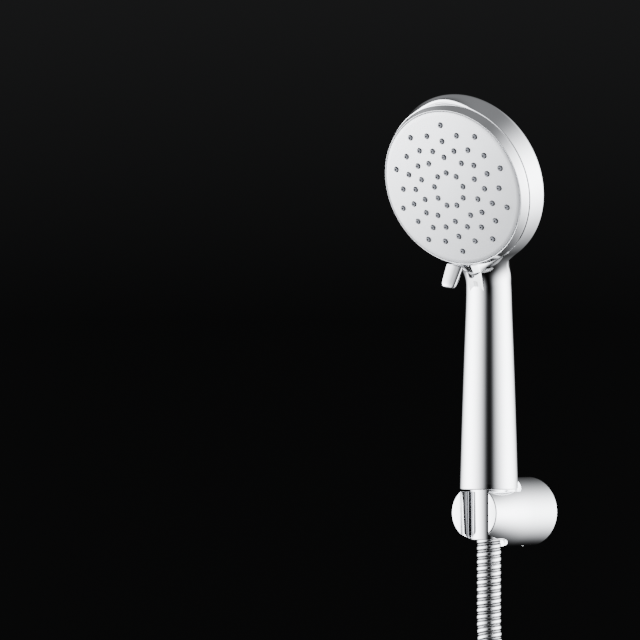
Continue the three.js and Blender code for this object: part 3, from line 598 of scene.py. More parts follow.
class Finishes:
    """Every material that the pieces wear."""

    def __init__(self) -> None:
        """Builds each finish once."""
        marks_and_shade = marks_and_painted_shade_group()
        plating = (0.93, 0.935, 0.95)
        self.chrome = Finish("polished_chrome", plating, 1.0, 0.055, 0.05, 0.05).build(marks_and_shade)
        self.bracket = Finish("bracket_chrome", plating, 1.0, 0.09, 0.06, 0.05).build(marks_and_shade)
        self.jacket = Finish("hose_strip_chrome", (0.92, 0.925, 0.94), 1.0, 0.12, 0.12, 0.12,
                             cloud_scale=120.0, grain=0.06).build(marks_and_shade)
        self.face = Finish("satin_face", (0.9, 0.91, 0.93), 0.5, 0.3, 0.08, 0.04,
                           cloud_scale=30.0, grain_scale=2600.0, grain=0.08).build(marks_and_shade)
        self.silicone = Finish("grey_silicone", (0.26, 0.27, 0.3), 0.0, 0.45, 0.12, 0.15,
                               cloud_scale=160.0, grain=0.1).build(marks_and_shade)
        self.rubber = Finish("black_rubber", (0.02, 0.02, 0.022), 0.0, 0.6, 0.15, 0.3,
                             cloud_scale=120.0, grain=0.2).build(marks_and_shade)
        self.plastic = Finish("white_plastic", (0.8, 0.8, 0.76), 0.0, 0.45, 0.1, 0.06,
                              grain=0.08).build(marks_and_shade)
        self.brass = Finish("turned_brass", (0.72, 0.52, 0.22), 1.0, 0.28, 0.15, 0.2,
                            cloud_scale=90.0, grain=0.08).build(marks_and_shade)
        self.floor = Finish("pale_floor", (0.62, 0.62, 0.62), 0.0, 0.7, 0.1, 0.04).build(marks_and_shade)
        self.steel = Finish("turned_steel", (0.55, 0.56, 0.58), 1.0, 0.3, 0.12, 0.15,
                            cloud_scale=90.0, grain=0.08).build(marks_and_shade)


# Handle and head housing


@dataclass
class Housing:
    """The handle, the neck and the head's housing, one plated moulding."""

    finishes: Finishes
    bottom: float = 14.7
    bottom_radius: float = 18.6
    middle_radius: float = 16.7
    neck_radius: float = 14.2
    neck_rounding: float = 1.0
    neck_height: float = 144.0
    lean_start: float = 138.0
    lean_radius: float = 110.0
    wall: float = 2.6
    blend: float = 15.0
    rim_edge: float = 0.9
    rim_steps: int = 4
    groove_depth: float = 6.8
    groove_radius: float = 54.0
    rim_depth: float = 17.0
    rim_radius: float = 56.6
    rim_rounding: float = 2.0
    back_height: float = 16.0
    back_margin: float = 1.0
    back_power: float = 0.6
    recess_radius: float = 13.1
    recess_top: float = 30.9
    bore_radius: float = 11.3
    bore_chamfer: float = 0.5
    hollow_from: float = 62.0
    lip_bulge: float = 0.3
    lip_inset: float = 0.15
    columns: int = 192
    outer_rows: tuple[int, int] = (44, 190)
    inner_rows: tuple[int, int] = (16, 70)
    fan_crowding: float = 1.7
    fan_widening: float = 1.5
    search_radius: float = 80.0
    halvings: int = 34

    def lean(self, height: Array) -> Array:
        """How far the handle's axis has left the vertical: a parabola above the lean's start."""
        past = np.maximum(0.0, height - self.lean_start)
        return past * past / (2 * self.lean_radius)

    def handle_field(self, p: Array) -> Array:
        """Radius about the handle's leaning axis, less the handle's own, a parabola in height.

        Args:
            p: Points, of shape (..., 3).

        Returns:
            The distance of each outside the handle.
        """
        t = (p[..., 2] - self.bottom) / (self.neck_height - self.bottom)
        ends = self.bottom_radius * (1 - t) * (1 - 2 * t) + self.neck_radius * t * (2 * t - 1)
        curve = ends + 4 * self.middle_radius * t * (1 - t)
        radius = smooth_max(curve, np.full_like(t, self.neck_radius), self.neck_rounding)
        return np.hypot(p[..., 0], p[..., 1] + STANCE.handle_out + self.lean(p[..., 2])) - radius

    def head_field(self, p: Array) -> Array:
        """A flared band in front, and a dome of height H (1 - (r / R)^2)^0.6 behind.

        Args:
            p: Points, of shape (..., 3).

        Returns:
            The distance of each outside the head.
        """
        local = (p - STANCE.face_centre) @ STANCE.face_axes.T
        depth, radius = -local[..., 2], np.hypot(local[..., 0], local[..., 1])
        flare = (self.rim_radius - self.groove_radius) / (self.rim_depth - self.groove_depth)
        band = radius - (self.groove_radius + flare * (depth - self.groove_depth))
        reach = np.minimum(1.0, radius / (self.rim_radius + self.back_margin))
        dome = depth - self.rim_depth - self.back_height * (1 - reach * reach) ** self.back_power
        return smooth_max(band, dome, self.rim_rounding)

    def field(self, p: Array) -> Array:
        """Distance outside the handle and head together, joined with a smooth fillet."""
        return -smooth_max(-self.handle_field(p), -self.head_field(p), self.blend)

    def stations(self, start_height: float, rows: tuple[int, int]) -> tuple[Array, Array]:
        """Planes that hold the X direction: level ones up the handle, then a fan into the head.

        The fan swings from level to the housing's front plane about the place where the neck meets
        the head, and its angle follows 1 - (1 - i/n)^1.7.

        Args:
            start_height: The height of the first plane.
            rows: The numbers of level planes and of steps in the fan.

        Returns:
            Start points and the in-plane directions across X, each of shape (planes, 3).
        """
        level, fan = rows
        heights = start_height + (self.neck_height - start_height) * np.arange(level) / level
        low = np.stack([np.zeros(level), -STANCE.handle_out - self.lean(heights), heights], -1)
        low_across = np.tile([0.0, 1.0, 0.0], (level, 1))
        throat = np.array([0.0, -STANCE.handle_out - self.neck_radius, self.neck_height])
        front = np.array([0.0, -self.groove_radius, -self.groove_depth]) @ STANCE.face_axes
        front = front + STANCE.face_centre
        t = 1.0 - (1.0 - np.arange(fan + 1) / fan) ** self.fan_crowding
        swing = np.radians((90.0 + STANCE.tilt) * t)
        across = np.stack([np.zeros(fan + 1), np.cos(swing), np.sin(swing)], -1)
        reach = self.neck_radius + (self.groove_radius - self.neck_radius) * t**self.fan_widening
        high = throat + (front - throat) * t[:, None] + across * reach[:, None]
        return np.vstack([low, high]), np.vstack([low_across, across])

    def rings(self, start_height: float, depth: float, rows: tuple[int, int]) -> Array:
        """Outlines of the surface a depth inside the moulding, one per plane.

        Along each ray (cos a, sin a) of a plane the radius is found by halving, all rays at once.

        Args:
            start_height: The height of the first plane.
            depth: How far inside the moulding's skin.
            rows: The numbers of level planes and of steps in the fan.

        Returns:
            Points of shape (planes, columns, 3).
        """
        starts, across = self.stations(start_height, rows)
        angle = bearings(self.columns)
        sideways = np.array([1.0, 0.0, 0.0])
        rays = np.cos(angle)[None, :, None] * sideways + np.sin(angle)[None, :, None] * across[:, None]
        inside = np.zeros(rays.shape[:2])
        outside = np.full(rays.shape[:2], self.search_radius)
        for _ in range(self.halvings):
            middle = (inside + outside) / 2
            within = self.field(starts[:, None] + rays * middle[..., None]) + depth < 0
            inside, outside = np.where(within, middle, inside), np.where(within, outside, middle)
        return starts[:, None] + rays * inside[..., None]

    def circles(self, radii: Sequence[float], heights: Sequence[float]) -> Array:
        """Rings (r cos a, r sin a) round the foot of the handle's axis.

        Args:
            radii: Each ring's radius.
            heights: Each ring's height.

        Returns:
            Points of shape (rings, columns, 3).
        """
        angle = bearings(self.columns)
        radius, height = np.asarray(radii)[:, None], np.asarray(heights)[:, None]
        return np.stack(np.broadcast_arrays(
            radius * np.cos(angle), radius * np.sin(angle) - STANCE.handle_out, height), -1)

    def rim(self) -> Array:
        """The rounded lower rim: a quarter ellipse from the rim's flat to the handle's side.

        Returns:
            Points of shape (rings, columns, 3).
        """
        turn = np.linspace(0.0, math.pi / 2, self.rim_steps, endpoint=False)
        radii = self.bottom_radius - self.rim_edge * (1 - np.sin(turn))
        return self.circles(radii, self.bottom + self.rim_edge * (1 - np.cos(turn)))

    def surface(self) -> Surface:
        """Joins the outside, the front lip, the inside, and the stepped bore for the inlet.

        Returns:
            The whole moulding.
        """
        outer = self.rings(self.bottom + self.rim_edge, 0.0, self.outer_rows)
        inner = self.rings(self.hollow_from, self.wall, self.inner_rows)[::-1]
        bulge = STANCE.face_axes[2] * self.lip_bulge
        share = self.lip_inset
        lip = np.stack([outer[-1] * (1 - s) + inner[0] * s + bulge for s in (share, 1 - share)])
        chamfer = self.bore_chamfer
        bore = self.circles(
            [self.bore_radius, self.bore_radius, self.recess_radius, self.recess_radius,
             self.recess_radius + chamfer],
            [self.hollow_from, self.recess_top, self.recess_top, self.bottom + chamfer, self.bottom])
        rings = np.vstack([self.rim(), outer, lip, inner, bore])
        return Surface(rings.reshape(-1, 3), grid_faces(len(rings), self.columns, True)).outward()

    def build(self) -> None:
        """Builds the moulding and dresses it."""
        make_piece("handle_and_housing", self.surface(), Body.HANDSET, self.finishes.chrome,
                   ["handle_shell"], sharp=50.0)


# Spray face


@dataclass
class SprayFace:
    """The satin face plate, the nozzles that stand through it, and the ring round it."""

    finishes: Finishes
    face_radius: float = 50.4
    crown: float = 4.5
    thickness: float = 1.6
    edge: float = 0.6
    skirt: float = 4.6
    skirt_wall: float = 1.6
    outer_ring: float = 41.9
    pitch_share: float = 0.123
    inner_share: float = 0.265
    per_ring: int = 10
    rings: int = 5
    inner_count: int = 9
    hole_radius: float = 2.0
    hole_reach: float = 4.0
    hole_shade_depth: float = 0.3
    nozzle_root: float = 1.45
    nozzle_tip: float = 1.25
    nozzle_bore: float = 0.5
    proud: float = 1.2
    root_depth: float = 0.9
    taper_from: float = -0.5
    lip: float = 0.16
    lip_drop: float = 0.35
    mouth: float = 0.2
    bore_depth: float = 1.6
    bore_shade: float = 0.85
    deep_shade: float = 0.9
    shade_from: float = 1.0
    shade_fade: float = 0.8
    mat_gap: float = 0.7
    mat_drop: float = 0.3
    mat_thickness: float = 1.4
    ring_gap: float = 0.3
    ring_front: float = 0.8
    ring_front_drop: float = 0.35
    ring_back: float = 3.2
    ring_edge: float = 0.7
    ring_taper: float = 0.15
    ring_undercut: float = 0.1
    ring_step: float = 0.05
    ring_rounding: float = 0.5
    groove_depth: float = 6.8
    groove_width: float = 0.5
    skirt_over: float = 0.4
    skirt_ring_wall: float = 3.4
    skirt_end: float = 12.4
    lip_depth: float = 5.0
    nozzle_segments: int = 20

    def crown_height(self, radius: Array) -> Array:
        """Height of the face above its rim plane: crown * (1 - (r / R)^2)."""
        return self.crown * (1.0 - (np.asarray(radius) / self.face_radius) ** 2)

    def places(self) -> Array:
        """Staggers five rings of ten nozzles and adds an inner ring of nine.

        Returns:
            Where the nozzles stand on the face, as (x, y).
        """
        ring, spot = np.arange(self.rings), np.arange(self.per_ring)
        stagger = np.where(ring % 2 == 0, 0.5, 0.0)[:, None]
        inner_turn = TURN * np.arange(self.inner_count) / self.inner_count + math.pi / 2
        inner = np.full(self.inner_count, self.outer_ring * self.inner_share)
        radii = np.concatenate([
            np.repeat(self.outer_ring * (1 - ring * self.pitch_share), self.per_ring), inner])
        turns = np.concatenate([(TURN * (spot + stagger) / self.per_ring).ravel(), inner_turn])
        return np.stack([radii * np.cos(turns), radii * np.sin(turns)], -1)

    def repeated(self, shape: Surface) -> Surface:
        """Copies a small shape to every nozzle, raised to the face's height there.

        Args:
            shape: The shape, standing on the rim plane at the face's centre.

        Returns:
            All the copies as one surface.
        """
        spots = self.places()
        lift = self.crown_height(np.hypot(spots[:, 0], spots[:, 1]))
        shift = np.stack([spots[:, 0], spots[:, 1], lift], -1)
        points = (shape.points[None] + shift[:, None]).reshape(-1, 3)
        step = (np.arange(len(spots)) * len(shape.points))[:, None, None]
        faces = np.where(shape.faces[None] < 0, -1, shape.faces[None] + step).reshape(-1, 4)
        return Surface(points, faces)

    def plate(self) -> None:
        """Builds the face plate, a thin dome with a skirt, and a hole round every nozzle."""
        radii = np.linspace(0.0, self.face_radius - self.edge, 26)
        top = np.stack([radii, self.crown_height(radii)], -1)
        inner = np.linspace(self.face_radius - self.skirt_wall, 0.0, 14)
        under = np.stack([inner, self.crown_height(inner) - self.thickness], -1)
        sides = [[self.face_radius - self.edge / 4, -self.edge / 3], [self.face_radius, -self.edge],
                 [self.face_radius, -self.skirt], [self.face_radius - self.skirt_wall, -self.skirt]]
        dome = turned(np.vstack([top, sides, under]), 128)
        holes = self.repeated(
            cylinder(self.hole_radius, -self.hole_reach, self.hole_reach, self.nozzle_segments))
        piece = carved("spray_face", dome.placed(Axis.OUT_OF_FACE), [holes.placed(Axis.OUT_OF_FACE)])
        self.paint_hole_shade(piece.data)
        dress(piece, Body.HANDSET, self.finishes.face, ["face_plate"], sharp=30.0)

    def paint_hole_shade(self, mesh: bpy.types.Mesh) -> None:
        """Paints shade on every hole's wall below a small depth, so that the wall darkens downwards.

        Args:
            mesh: The plate's mesh.
        """
        close = 0.1
        flat = np.empty(3 * len(mesh.vertices))
        mesh.vertices.foreach_get("co", flat)
        local = (flat.reshape(-1, 3) / MM - STANCE.face_centre) @ STANCE.face_axes.T
        away = np.linalg.norm(local[:, None, :2] - self.places()[None], axis=2).min(axis=1)
        drop = self.crown_height(np.hypot(local[:, 0], local[:, 1])) - local[:, 2]
        # Painted shade: points of a hole's wall deeper than the shade depth are darkened fully.
        store_painted_shade(mesh, (drop > self.hole_shade_depth) & (away < self.hole_radius + close))

    def nozzle(self) -> tuple[Surface, Array]:
        """Turns one nozzle: a tapered body with a rounded lip and a bore.

        Returns:
            Its surface, and the painted shade of each point: the bore darkened, and the outside darkened
            more the lower it lies.
        """
        low, top = -self.thickness - self.root_depth, self.proud
        tip, bore = self.nozzle_tip, self.nozzle_bore
        one = turned(np.array([
            [0.0, low], [self.nozzle_root, low], [self.nozzle_root, self.taper_from],
            [tip + self.lip, top - self.lip_drop], [tip + 0.03, top - 0.1], [tip - self.lip, top],
            [bore + self.mouth, top - 0.02], [bore, top - self.mouth], [bore, top - self.bore_depth],
            [0.0, top - self.bore_depth],
        ]), self.nozzle_segments)
        # Painted shade: the bore is darkened, and the outside darkens more the lower it lies.
        close = 0.05
        inside = np.hypot(one.points[:, 0], one.points[:, 1]) < bore + close
        fade = np.clip((self.shade_from - one.points[:, 2]) / self.shade_fade, 0.0, 1.0)
        return one, np.where(inside, self.bore_shade, fade * self.deep_shade)

    def nozzles(self) -> None:
        """Builds the silicone mat with its nozzles, with painted shade over the whole mat and on the
        nozzles' bores and roots.
        """
        one, shade = self.nozzle()
        radii = np.linspace(0.0, self.face_radius - self.skirt_wall - self.mat_gap, 12)
        height = self.crown_height(radii) - (self.thickness + self.mat_drop)
        upper = np.stack([radii, height], -1)
        lower = np.stack([radii, height - self.mat_thickness], -1)[::-1]
        mat = turned(np.vstack([upper, lower]), 72)
        tips = np.tile(shade, len(self.places()))
        # Painted shade: the whole mat is darkened to stand in for the shade under the face plate.
        painted_shading = np.concatenate([np.full(len(mat.points), self.deep_shade), tips])
        whole = mat.joined(self.repeated(one)).placed(Axis.OUT_OF_FACE)
        make_piece("nozzles_and_mat", whole, Body.HANDSET, self.finishes.silicone,
                   ["nozzle_mat"], sharp=40.0, painted_shade=painted_shading)

    def ring(self) -> None:
        """Builds the selector ring: a conical band with rounded edges and a skirt inside the housing."""
        back = self.groove_depth - self.groove_width
        inner, outer, skirt = (self.face_radius + more for more in (
            self.ring_gap, self.ring_back, self.skirt_over))
        hidden = skirt - self.skirt_ring_wall
        profile = eased([
            [inner, -self.ring_front_drop], [self.face_radius + self.ring_front, 0.0],
            [outer - self.ring_taper, -back + self.ring_edge], [outer - self.ring_undercut, -back],
            [skirt, -back - self.ring_step], [skirt, -self.skirt_end], [hidden, -self.skirt_end],
            [hidden, -self.lip_depth], [inner, -self.lip_depth],
        ], self.ring_rounding, 4)
        make_piece("spray_selector_ring", turned(profile, 200).placed(Axis.OUT_OF_FACE), Body.SELECTOR,
                   self.finishes.chrome, ["selector_ring"], sharp=60.0)

    def build(self) -> None:
        """Builds the plate, the nozzles and the ring."""
        self.plate()
        self.nozzles()
        self.ring()


@dataclass
class Lever:
    """The finger tab that turns the spray ring."""

    finishes: Finishes
    angle: float = 11.5
    lean: float = 36.0
    length: float = 16.0
    root_width: float = 12.0
    tip_width: float = 10.0
    thickness: float = 4.5
    thinning: float = 0.25
    ring_radius: float = 53.3
    depth: float = 3.15
    tip_from: float = 0.55
    root_share: float = 0.06
    side_power: float = 0.55
    front_power: float = 0.7
    keel_height: float = 0.35
    keel_drop: float = 0.2
    rows: int = 44
    columns: int = 48

    def surface(self) -> Surface:
        """Works out a flattened bar whose section is a rounded box with a keel down its front.

        Along the length the half width is w times (1 - u^4)^(1/4) and the half thickness is h times
        (1 - u^6)^0.3, where u runs from 0 where the tip starts to 1 at its end, so that the bar
        closes in a blunt round. Round the section the point is (cos a, sin a), each raised to a
        power below one, and the front is scaled by 0.8 + 0.35 (1 - |x|)^1.5.

        Returns:
            The bar, pointing down from its own origin.
        """
        t = np.linspace(0.0, 1.0, self.rows)[:, None]
        a = bearings(self.columns)[None, :]
        u = np.clip((t - self.tip_from) / (1.0 - self.tip_from), 0.0, 1.0)
        start = np.clip(t / self.root_share, 0.0, 1.0) ** 0.5
        width = self.root_width + (self.tip_width - self.root_width) * t
        half = width / 2 * np.maximum(1 - u**4, 0.0) ** 0.25 * start
        thick = self.thickness / 2 * (1 - self.thinning * t) * np.maximum(1 - u**6, 0.0) ** 0.3 * start
        x = np.sign(np.cos(a)) * np.abs(np.cos(a)) ** self.side_power
        z = np.sign(np.sin(a)) * np.abs(np.sin(a)) ** self.front_power
        keel = np.where(z > 0, self.keel_height * (1 - np.abs(x)) ** 1.5 - self.keel_drop, 0.0)
        grid = np.stack(np.broadcast_arrays(x * half, -t * self.length, (z + keel * z) * thick), -1)
        return capped(grid[1:-1], np.stack([grid[0].mean(0), grid[-1].mean(0)]))

    def build(self) -> None:
        """Builds the tab, leans it back, moves it to the ring and turns it to its rest place."""
        bar = self.surface()
        about_x = np.array(Matrix.Rotation(math.radians(-self.lean), 3, "X"))
        about_z = np.array(Matrix.Rotation(math.radians(-self.angle), 3, "Z"))
        leaned = bar.points @ about_x.T + [0.0, -self.ring_radius, -self.depth]
        shape = Surface(leaned @ about_z.T, bar.faces).placed(Axis.OUT_OF_FACE)
        make_piece("spray_lever", shape, Body.SELECTOR, self.finishes.chrome,
                   ["selector_lever"], sharp=70.0)


# Wall bracket and the nut that stands in it


@dataclass
class Bracket:
    """The barrel-shaped bracket with its conical socket, seat and hose slot."""

    finishes: Finishes
    length: float = 62.8
    wall_radius: float = 22.1
    foot_edge: float = 0.5
    front_radius: float = 17.1
    straight: float = 26.0
    edge: float = 0.9
    edge_steps: int = 4
    cavity_radius: float = 17.5
    cavity_depth: float = 19.0
    slot_width: float = 21.0
    slot_flare: float = 0.7
    slot_flare_from: float = 1.2
    slot_flare_to: float = 0.2
    slot_behind: float = 1.3
    slot_top: float = 17.0
    past_front: float = 3.0
    cap_inset: float = 4.0
    seat_radius: float = 20.9
    seat_height: float = 13.4
    socket_low: float = 11.85
    socket_high: float = 12.5
    socket_bottom: float = -24.0
    past_top: float = 26.0
    past_bottom: float = -25.0
    grub_out: float = 10.5
    grub_radius: float = 2.7
    grub_top: float = -16.0
    rounding: float = 0.35

    def barrel_radius(self, out: Array) -> Array:
        """Radius of a cylinder and then of a circular barrel.

        Args:
            out: Distances from the wall.

        Returns:
            The radius at each.
        """
        run = self.length - self.straight
        drop = self.wall_radius - self.front_radius
        arc = (run * run + drop * drop) / (2 * drop)
        past = np.maximum(0.0, np.asarray(out) - self.straight)
        return self.wall_radius - arc + np.sqrt(arc * arc - past * past)

    def barrel(self) -> Surface:
        """Turns the barrel and its cavity for the wall plate about the wall's normal.

        Returns:
            The solid barrel.
        """
        out = np.linspace(self.straight, self.length - self.edge, 24)
        side = np.stack([self.barrel_radius(out), out], -1)
        turn = np.linspace(0.0, math.pi / 2, self.edge_steps + 1)[1:]
        last = float(self.barrel_radius(np.array(self.length - self.edge)))
        rounding = np.stack([last - self.edge * (1 - np.cos(turn)),
                             self.length - self.edge * (1 - np.sin(turn))], -1)
        foot = [[0.0, self.cavity_depth], [self.cavity_radius, self.cavity_depth],
                [self.cavity_radius, 0.0], [self.wall_radius - self.foot_edge, 0.0],
                [self.wall_radius, self.foot_edge]]
        profile = np.vstack([foot, side, rounding, [[0.0, self.length]]])
        return turned(profile, 144).placed(Axis.FROM_WALL)

    def slot(self) -> Surface:
        """The hose slot: an outline seen from above, flared at the front, between two heights.

        Returns:
            The solid that is cut away.
        """
        half, front = self.slot_width / 2, -self.length
        wide = half + self.slot_flare
        back = -STANCE.handle_out - self.slot_behind
        right = np.array([[half, back], [half, front + self.slot_flare_from],
                          [wide, front - self.slot_flare_to], [wide, front - self.past_front]])
        left = right[::-1] * [-1.0, 1.0]
        plan = np.vstack([left[-1:], right, left[:-1]])
        heights = (self.past_bottom, self.slot_top)
        rings = np.stack([np.column_stack([plan, np.full(len(plan), z)]) for z in heights])
        return capped(rings, np.array([[0.0, front + self.cap_inset, z] for z in heights]))

    def tools(self) -> list[Surface]:
        """What is cut away: the socket's cone and the seat, the hose slot and the grub screw's hole.

        Returns:
            The closed shapes, in the part's frame.
        """
        socket = turned(np.array([
            [0.0, self.socket_bottom], [self.socket_low, self.socket_bottom],
            [self.socket_high, self.seat_height], [self.seat_radius, self.seat_height],
            [self.seat_radius, self.past_top], [0.0, self.past_top]]), 96)
        grub = cylinder(self.grub_radius, self.past_bottom, self.grub_top, 32)
        return [socket.placed(Axis.UP, HANDLE_FOOT), self.slot(),
                grub.placed(Axis.UP, (0.0, -self.grub_out, 0.0))]

    def build(self) -> None:
        """Cuts the barrel, dresses it and rounds its crisp edges."""
        piece = carved("bracket_barrel", self.barrel(), self.tools())
        dress(piece, Body.BRACKET, self.finishes.bracket, ["wall_bracket"], sharp=30.0)
        soften(piece, self.rounding, angle=40.0, segments=3)


@dataclass
class ConicalNut:
    """The tapered union nut under the handle."""

    finishes: Finishes
    bottom: float = -17.5
    top: float = 27.0
    bottom_radius: float = 11.6
    top_radius: float = 12.3
    lower_bore: float = 8.4
    bore: float = 10.2
    shoulder: float = 8.3
    rounding: float = 0.9

    def build(self) -> None:
        """Turns the nut: a slim cone with rounded ends and a stepped bore."""
        profile = eased([
            [self.lower_bore, self.bottom], [self.bottom_radius, self.bottom],
            [self.top_radius, self.top], [self.bore, self.top],
            [self.bore, self.shoulder], [self.lower_bore, self.shoulder],
        ], self.rounding, 5)
        make_piece("conical_union_nut", turned(profile, 128).placed(Axis.UP, HANDLE_FOOT), Body.HANDSET,
                   self.finishes.chrome, ["conical_nut"], sharp=50.0)


# Hose


@dataclass
class Hose:
    """The strip-wound metal hose, its coil, and the union nut at its far end."""

    finishes: Finishes
    diameter: float = 15.5
    length: float = 1500.0
    pitch: float = 4.4
    coil_radius: float = 88.0
    turns: int = 2
    turn_pitch: float = 16.2
    leaves: tuple[float, float, float] = (0.0, -45.7, -14.3)
    start: tuple[float, float, float] = (0.0, -45.7, -14.0)
    route: Array = field(default_factory=lambda: np.array([
        [0, 0, -0.3], [0, 0, -16], [0, 0, -32], [0, 0, -44], [0.28, -0.17, -60.47],
        [2.18, -0.66, -76.77], [6.88, -1.39, -92.54], [14.78, -2.33, -106.96],
        [25.34, -3.4, -119.52], [37.6, -4.56, -130.52], [50.4, -5.74, -140.89],
        [62.66, -6.9, -151.89], [73.22, -7.97, -164.44], [81.12, -8.91, -178.87],
        [85.82, -9.64, -194.63], [87.72, -10.13, -210.93], [88, -10.3, -227.41],
    ], float))
    end_gap: float = 0.3
    groove_depth: float = 0.95
    full_shade_depth: float = 0.7
    deepest_shade: float = 0.97
    end_shade: float = 0.9
    ring_step: float = 0.37
    path_step: float = 3.0
    columns: int = 24
    sleeve_radius: float = 8.0
    sleeve_bore: float = 4.2
    flange_radius: float = 9.4
    flange_height: float = 2.2
    roll_depth: float = 0.5
    nut_flange: float = 2.4
    nut_bore: float = 10.2
    nut_neck: float = 8.4
    nut_chamfer: float = 0.4
    nut_corner: float = 0.8
    nut_corner_cut: float = 0.25
    nut_rows: int = 26
    flute_waves: int = 12
    flute_depth: float = 0.7
    flute_end: float = 2.0

    def centreline(self, spacing: float) -> Array:
        """The hose's line: the hanging route, two turns of coil, and the straight tail.

        The coil is (R cos a, y, z0 - R sin a) while y moves back one turn pitch per turn.

        Args:
            spacing: The distance between its points.

        Returns:
            Points of shape (n, 3).
        """
        route = self.route + np.array(self.start)
        turn_length = math.hypot(TURN * self.coil_radius, self.turn_pitch)
        count = int(round(self.turns * turn_length / spacing))
        a = np.linspace(0.0, TURN * self.turns, count + 1)[1:]
        x0, y0, z0 = route[-1]
        coil = np.stack([self.coil_radius * np.cos(a), y0 + self.turn_pitch * a / TURN,
                         z0 - self.coil_radius * np.sin(a)], -1)
        low = cad_box("lower_ferrule")[1][2] + self.end_gap
        steps = max(2, int(round((z0 - low) / spacing)))
        fall = np.linspace(z0, low, steps + 1)[1:]
        tail = np.stack([np.full(steps, x0), np.full(steps, coil[-1, 1]), fall], -1)
        return np.vstack([through(route, spacing), coil, tail])

    def relief(self, phase: Array) -> Array:
        """Depth of the strip's surface below its crest over one pitch.

        A wide crowned band, a groove, a narrow raised seam and a second groove follow each other.

        Args:
            phase: The share of a pitch, from 0 to 1.

        Returns:
            The depth at each.
        """
        wide = np.clip(1 - ((phase - 0.33) / 0.32) ** 6, 0.0, 1.0)
        seam = np.clip(1 - ((phase - 0.83) / 0.12) ** 2, 0.0, 1.0) * 0.8
        return self.groove_depth * (1.0 - np.maximum(wide, seam))

    def jacket(self) -> bpy.types.Object:
        """Sweeps the strip-wound jacket along the centreline with its helical relief, with shade painted
        into the grooves.

        At length s and angle a round the hose the radius is R less the relief at the fractional part
        of s / pitch - a / turn.

        Returns:
            The jacket.
        """
        line = self.centreline(self.ring_step)
        run = along(line)
        forward = np.gradient(line, run, axis=0)
        forward /= np.linalg.norm(forward, axis=1, keepdims=True)
        into_wall = np.array([0.0, 1.0, 0.0])
        first = into_wall - (forward @ into_wall)[:, None] * forward
        first /= np.linalg.norm(first, axis=1, keepdims=True)
        second = np.cross(forward, first)
        a = bearings(self.columns)[None, :]
        depth = self.relief((run[:, None] / self.pitch - a / TURN) % 1.0)
        radius = self.diameter / 2 - depth
        ring = (np.cos(a) * radius)[..., None] * first[:, None]
        ring = ring + (np.sin(a) * radius)[..., None] * second[:, None]
        # Painted shade: the colour darkens with the groove's depth, and the two end caps are darkened too.
        shade = np.clip(depth / self.full_shade_depth, 0.0, 1.0).ravel() ** 1.5 * self.deepest_shade
        return make_piece("hose_jacket", capped(line[:, None] + ring, line[[0, -1]]), Body.HOSE,
                          self.finishes.jacket, ["hose_run", "hose_coil", "hose_tail"],
                          sharp=80.0, painted_shade=np.concatenate([shade, [self.end_shade] * 2]))

    def sleeve(self) -> bpy.types.Object:
        """Turns the brass crimp sleeve on the hose's far end, with two rolled grooves.

        Returns:
            The sleeve.
        """
        low, high = cad_box("lower_ferrule")
        x, y, _ = (low + high) / 2
        outer, bore, wide = self.sleeve_radius, self.sleeve_bore, self.flange_radius
        top, bottom, flange = high[2], low[2], low[2] + self.flange_height
        rolled = [[outer - groove, flange + (top - flange) * share] for share, groove in (
            (0.3, 0.0), (0.34, self.roll_depth), (0.38, 0.0),
            (0.6, 0.0), (0.64, self.roll_depth), (0.68, 0.0))]
        corners = [[bore, bottom], [wide, bottom], [wide, flange], [outer, flange], *rolled,
                   [outer, top], [bore, top]]
        shape = turned(eased(corners, 0.35, 2), 72).placed(Axis.UP, (x, y, 0.0))
        return make_piece("hose_end_sleeve", shape, Body.HOSE, self.finishes.brass,
                          ["lower_ferrule"], sharp=50.0)

    def supply_nut(self) -> bpy.types.Object:
        """Turns the supply union nut, with flutes for the fingers round its waist.

        Round the waist the radius is R less 0.7 cos^8 of twelve times the bearing, which makes 24
        flutes, faded out towards both ends.

        Returns:
            The nut.
        """
        low, high = cad_box("supply_nut")
        x, y, _ = (low + high) / 2
        radius, top, bottom = (high[0] - low[0]) / 2, high[2], low[2]
        flange, neck, bore = top - self.nut_flange, self.nut_neck, self.nut_bore
        corner, cut, chamfer = self.nut_corner, self.nut_corner_cut, self.nut_chamfer
        z = np.linspace(bottom + corner, top - corner, self.nut_rows)
        profile = np.vstack([
            [[bore, flange], [bore, bottom + chamfer], [bore + chamfer, bottom],
             [radius - corner, bottom], [radius - cut, bottom + cut]],
            np.stack([np.full(self.nut_rows, radius), z], -1),
            [[radius - cut, top - cut], [radius - corner, top], [neck + chamfer, top],
             [neck, top - chamfer], [neck, flange]]])
        shape = turned(profile, 192)
        flat = np.hypot(shape.points[:, 0], shape.points[:, 1])
        angle = np.arctan2(shape.points[:, 1], shape.points[:, 0])
        height, end = shape.points[:, 2], self.flute_end
        share = np.clip((top - height - end) / end, 0, 1) * np.clip((height - bottom - end) / end, 0, 1)
        flute = self.flute_depth * np.cos(angle * self.flute_waves) ** 8 * share * (flat > radius - 0.1)
        shape.points[:, :2] *= ((flat - flute) / flat)[:, None]
        return make_piece("supply_union_nut", shape.placed(Axis.UP, (x, y, 0.0)), Body.SUPPLY_UNION,
                          self.finishes.chrome, ["supply_nut"], sharp=50.0)

    def build(self) -> None:
        jacket, sleeve, nut = self.jacket(), self.sleeve(), self.supply_nut()


# CAD nodes that stay, and the studio


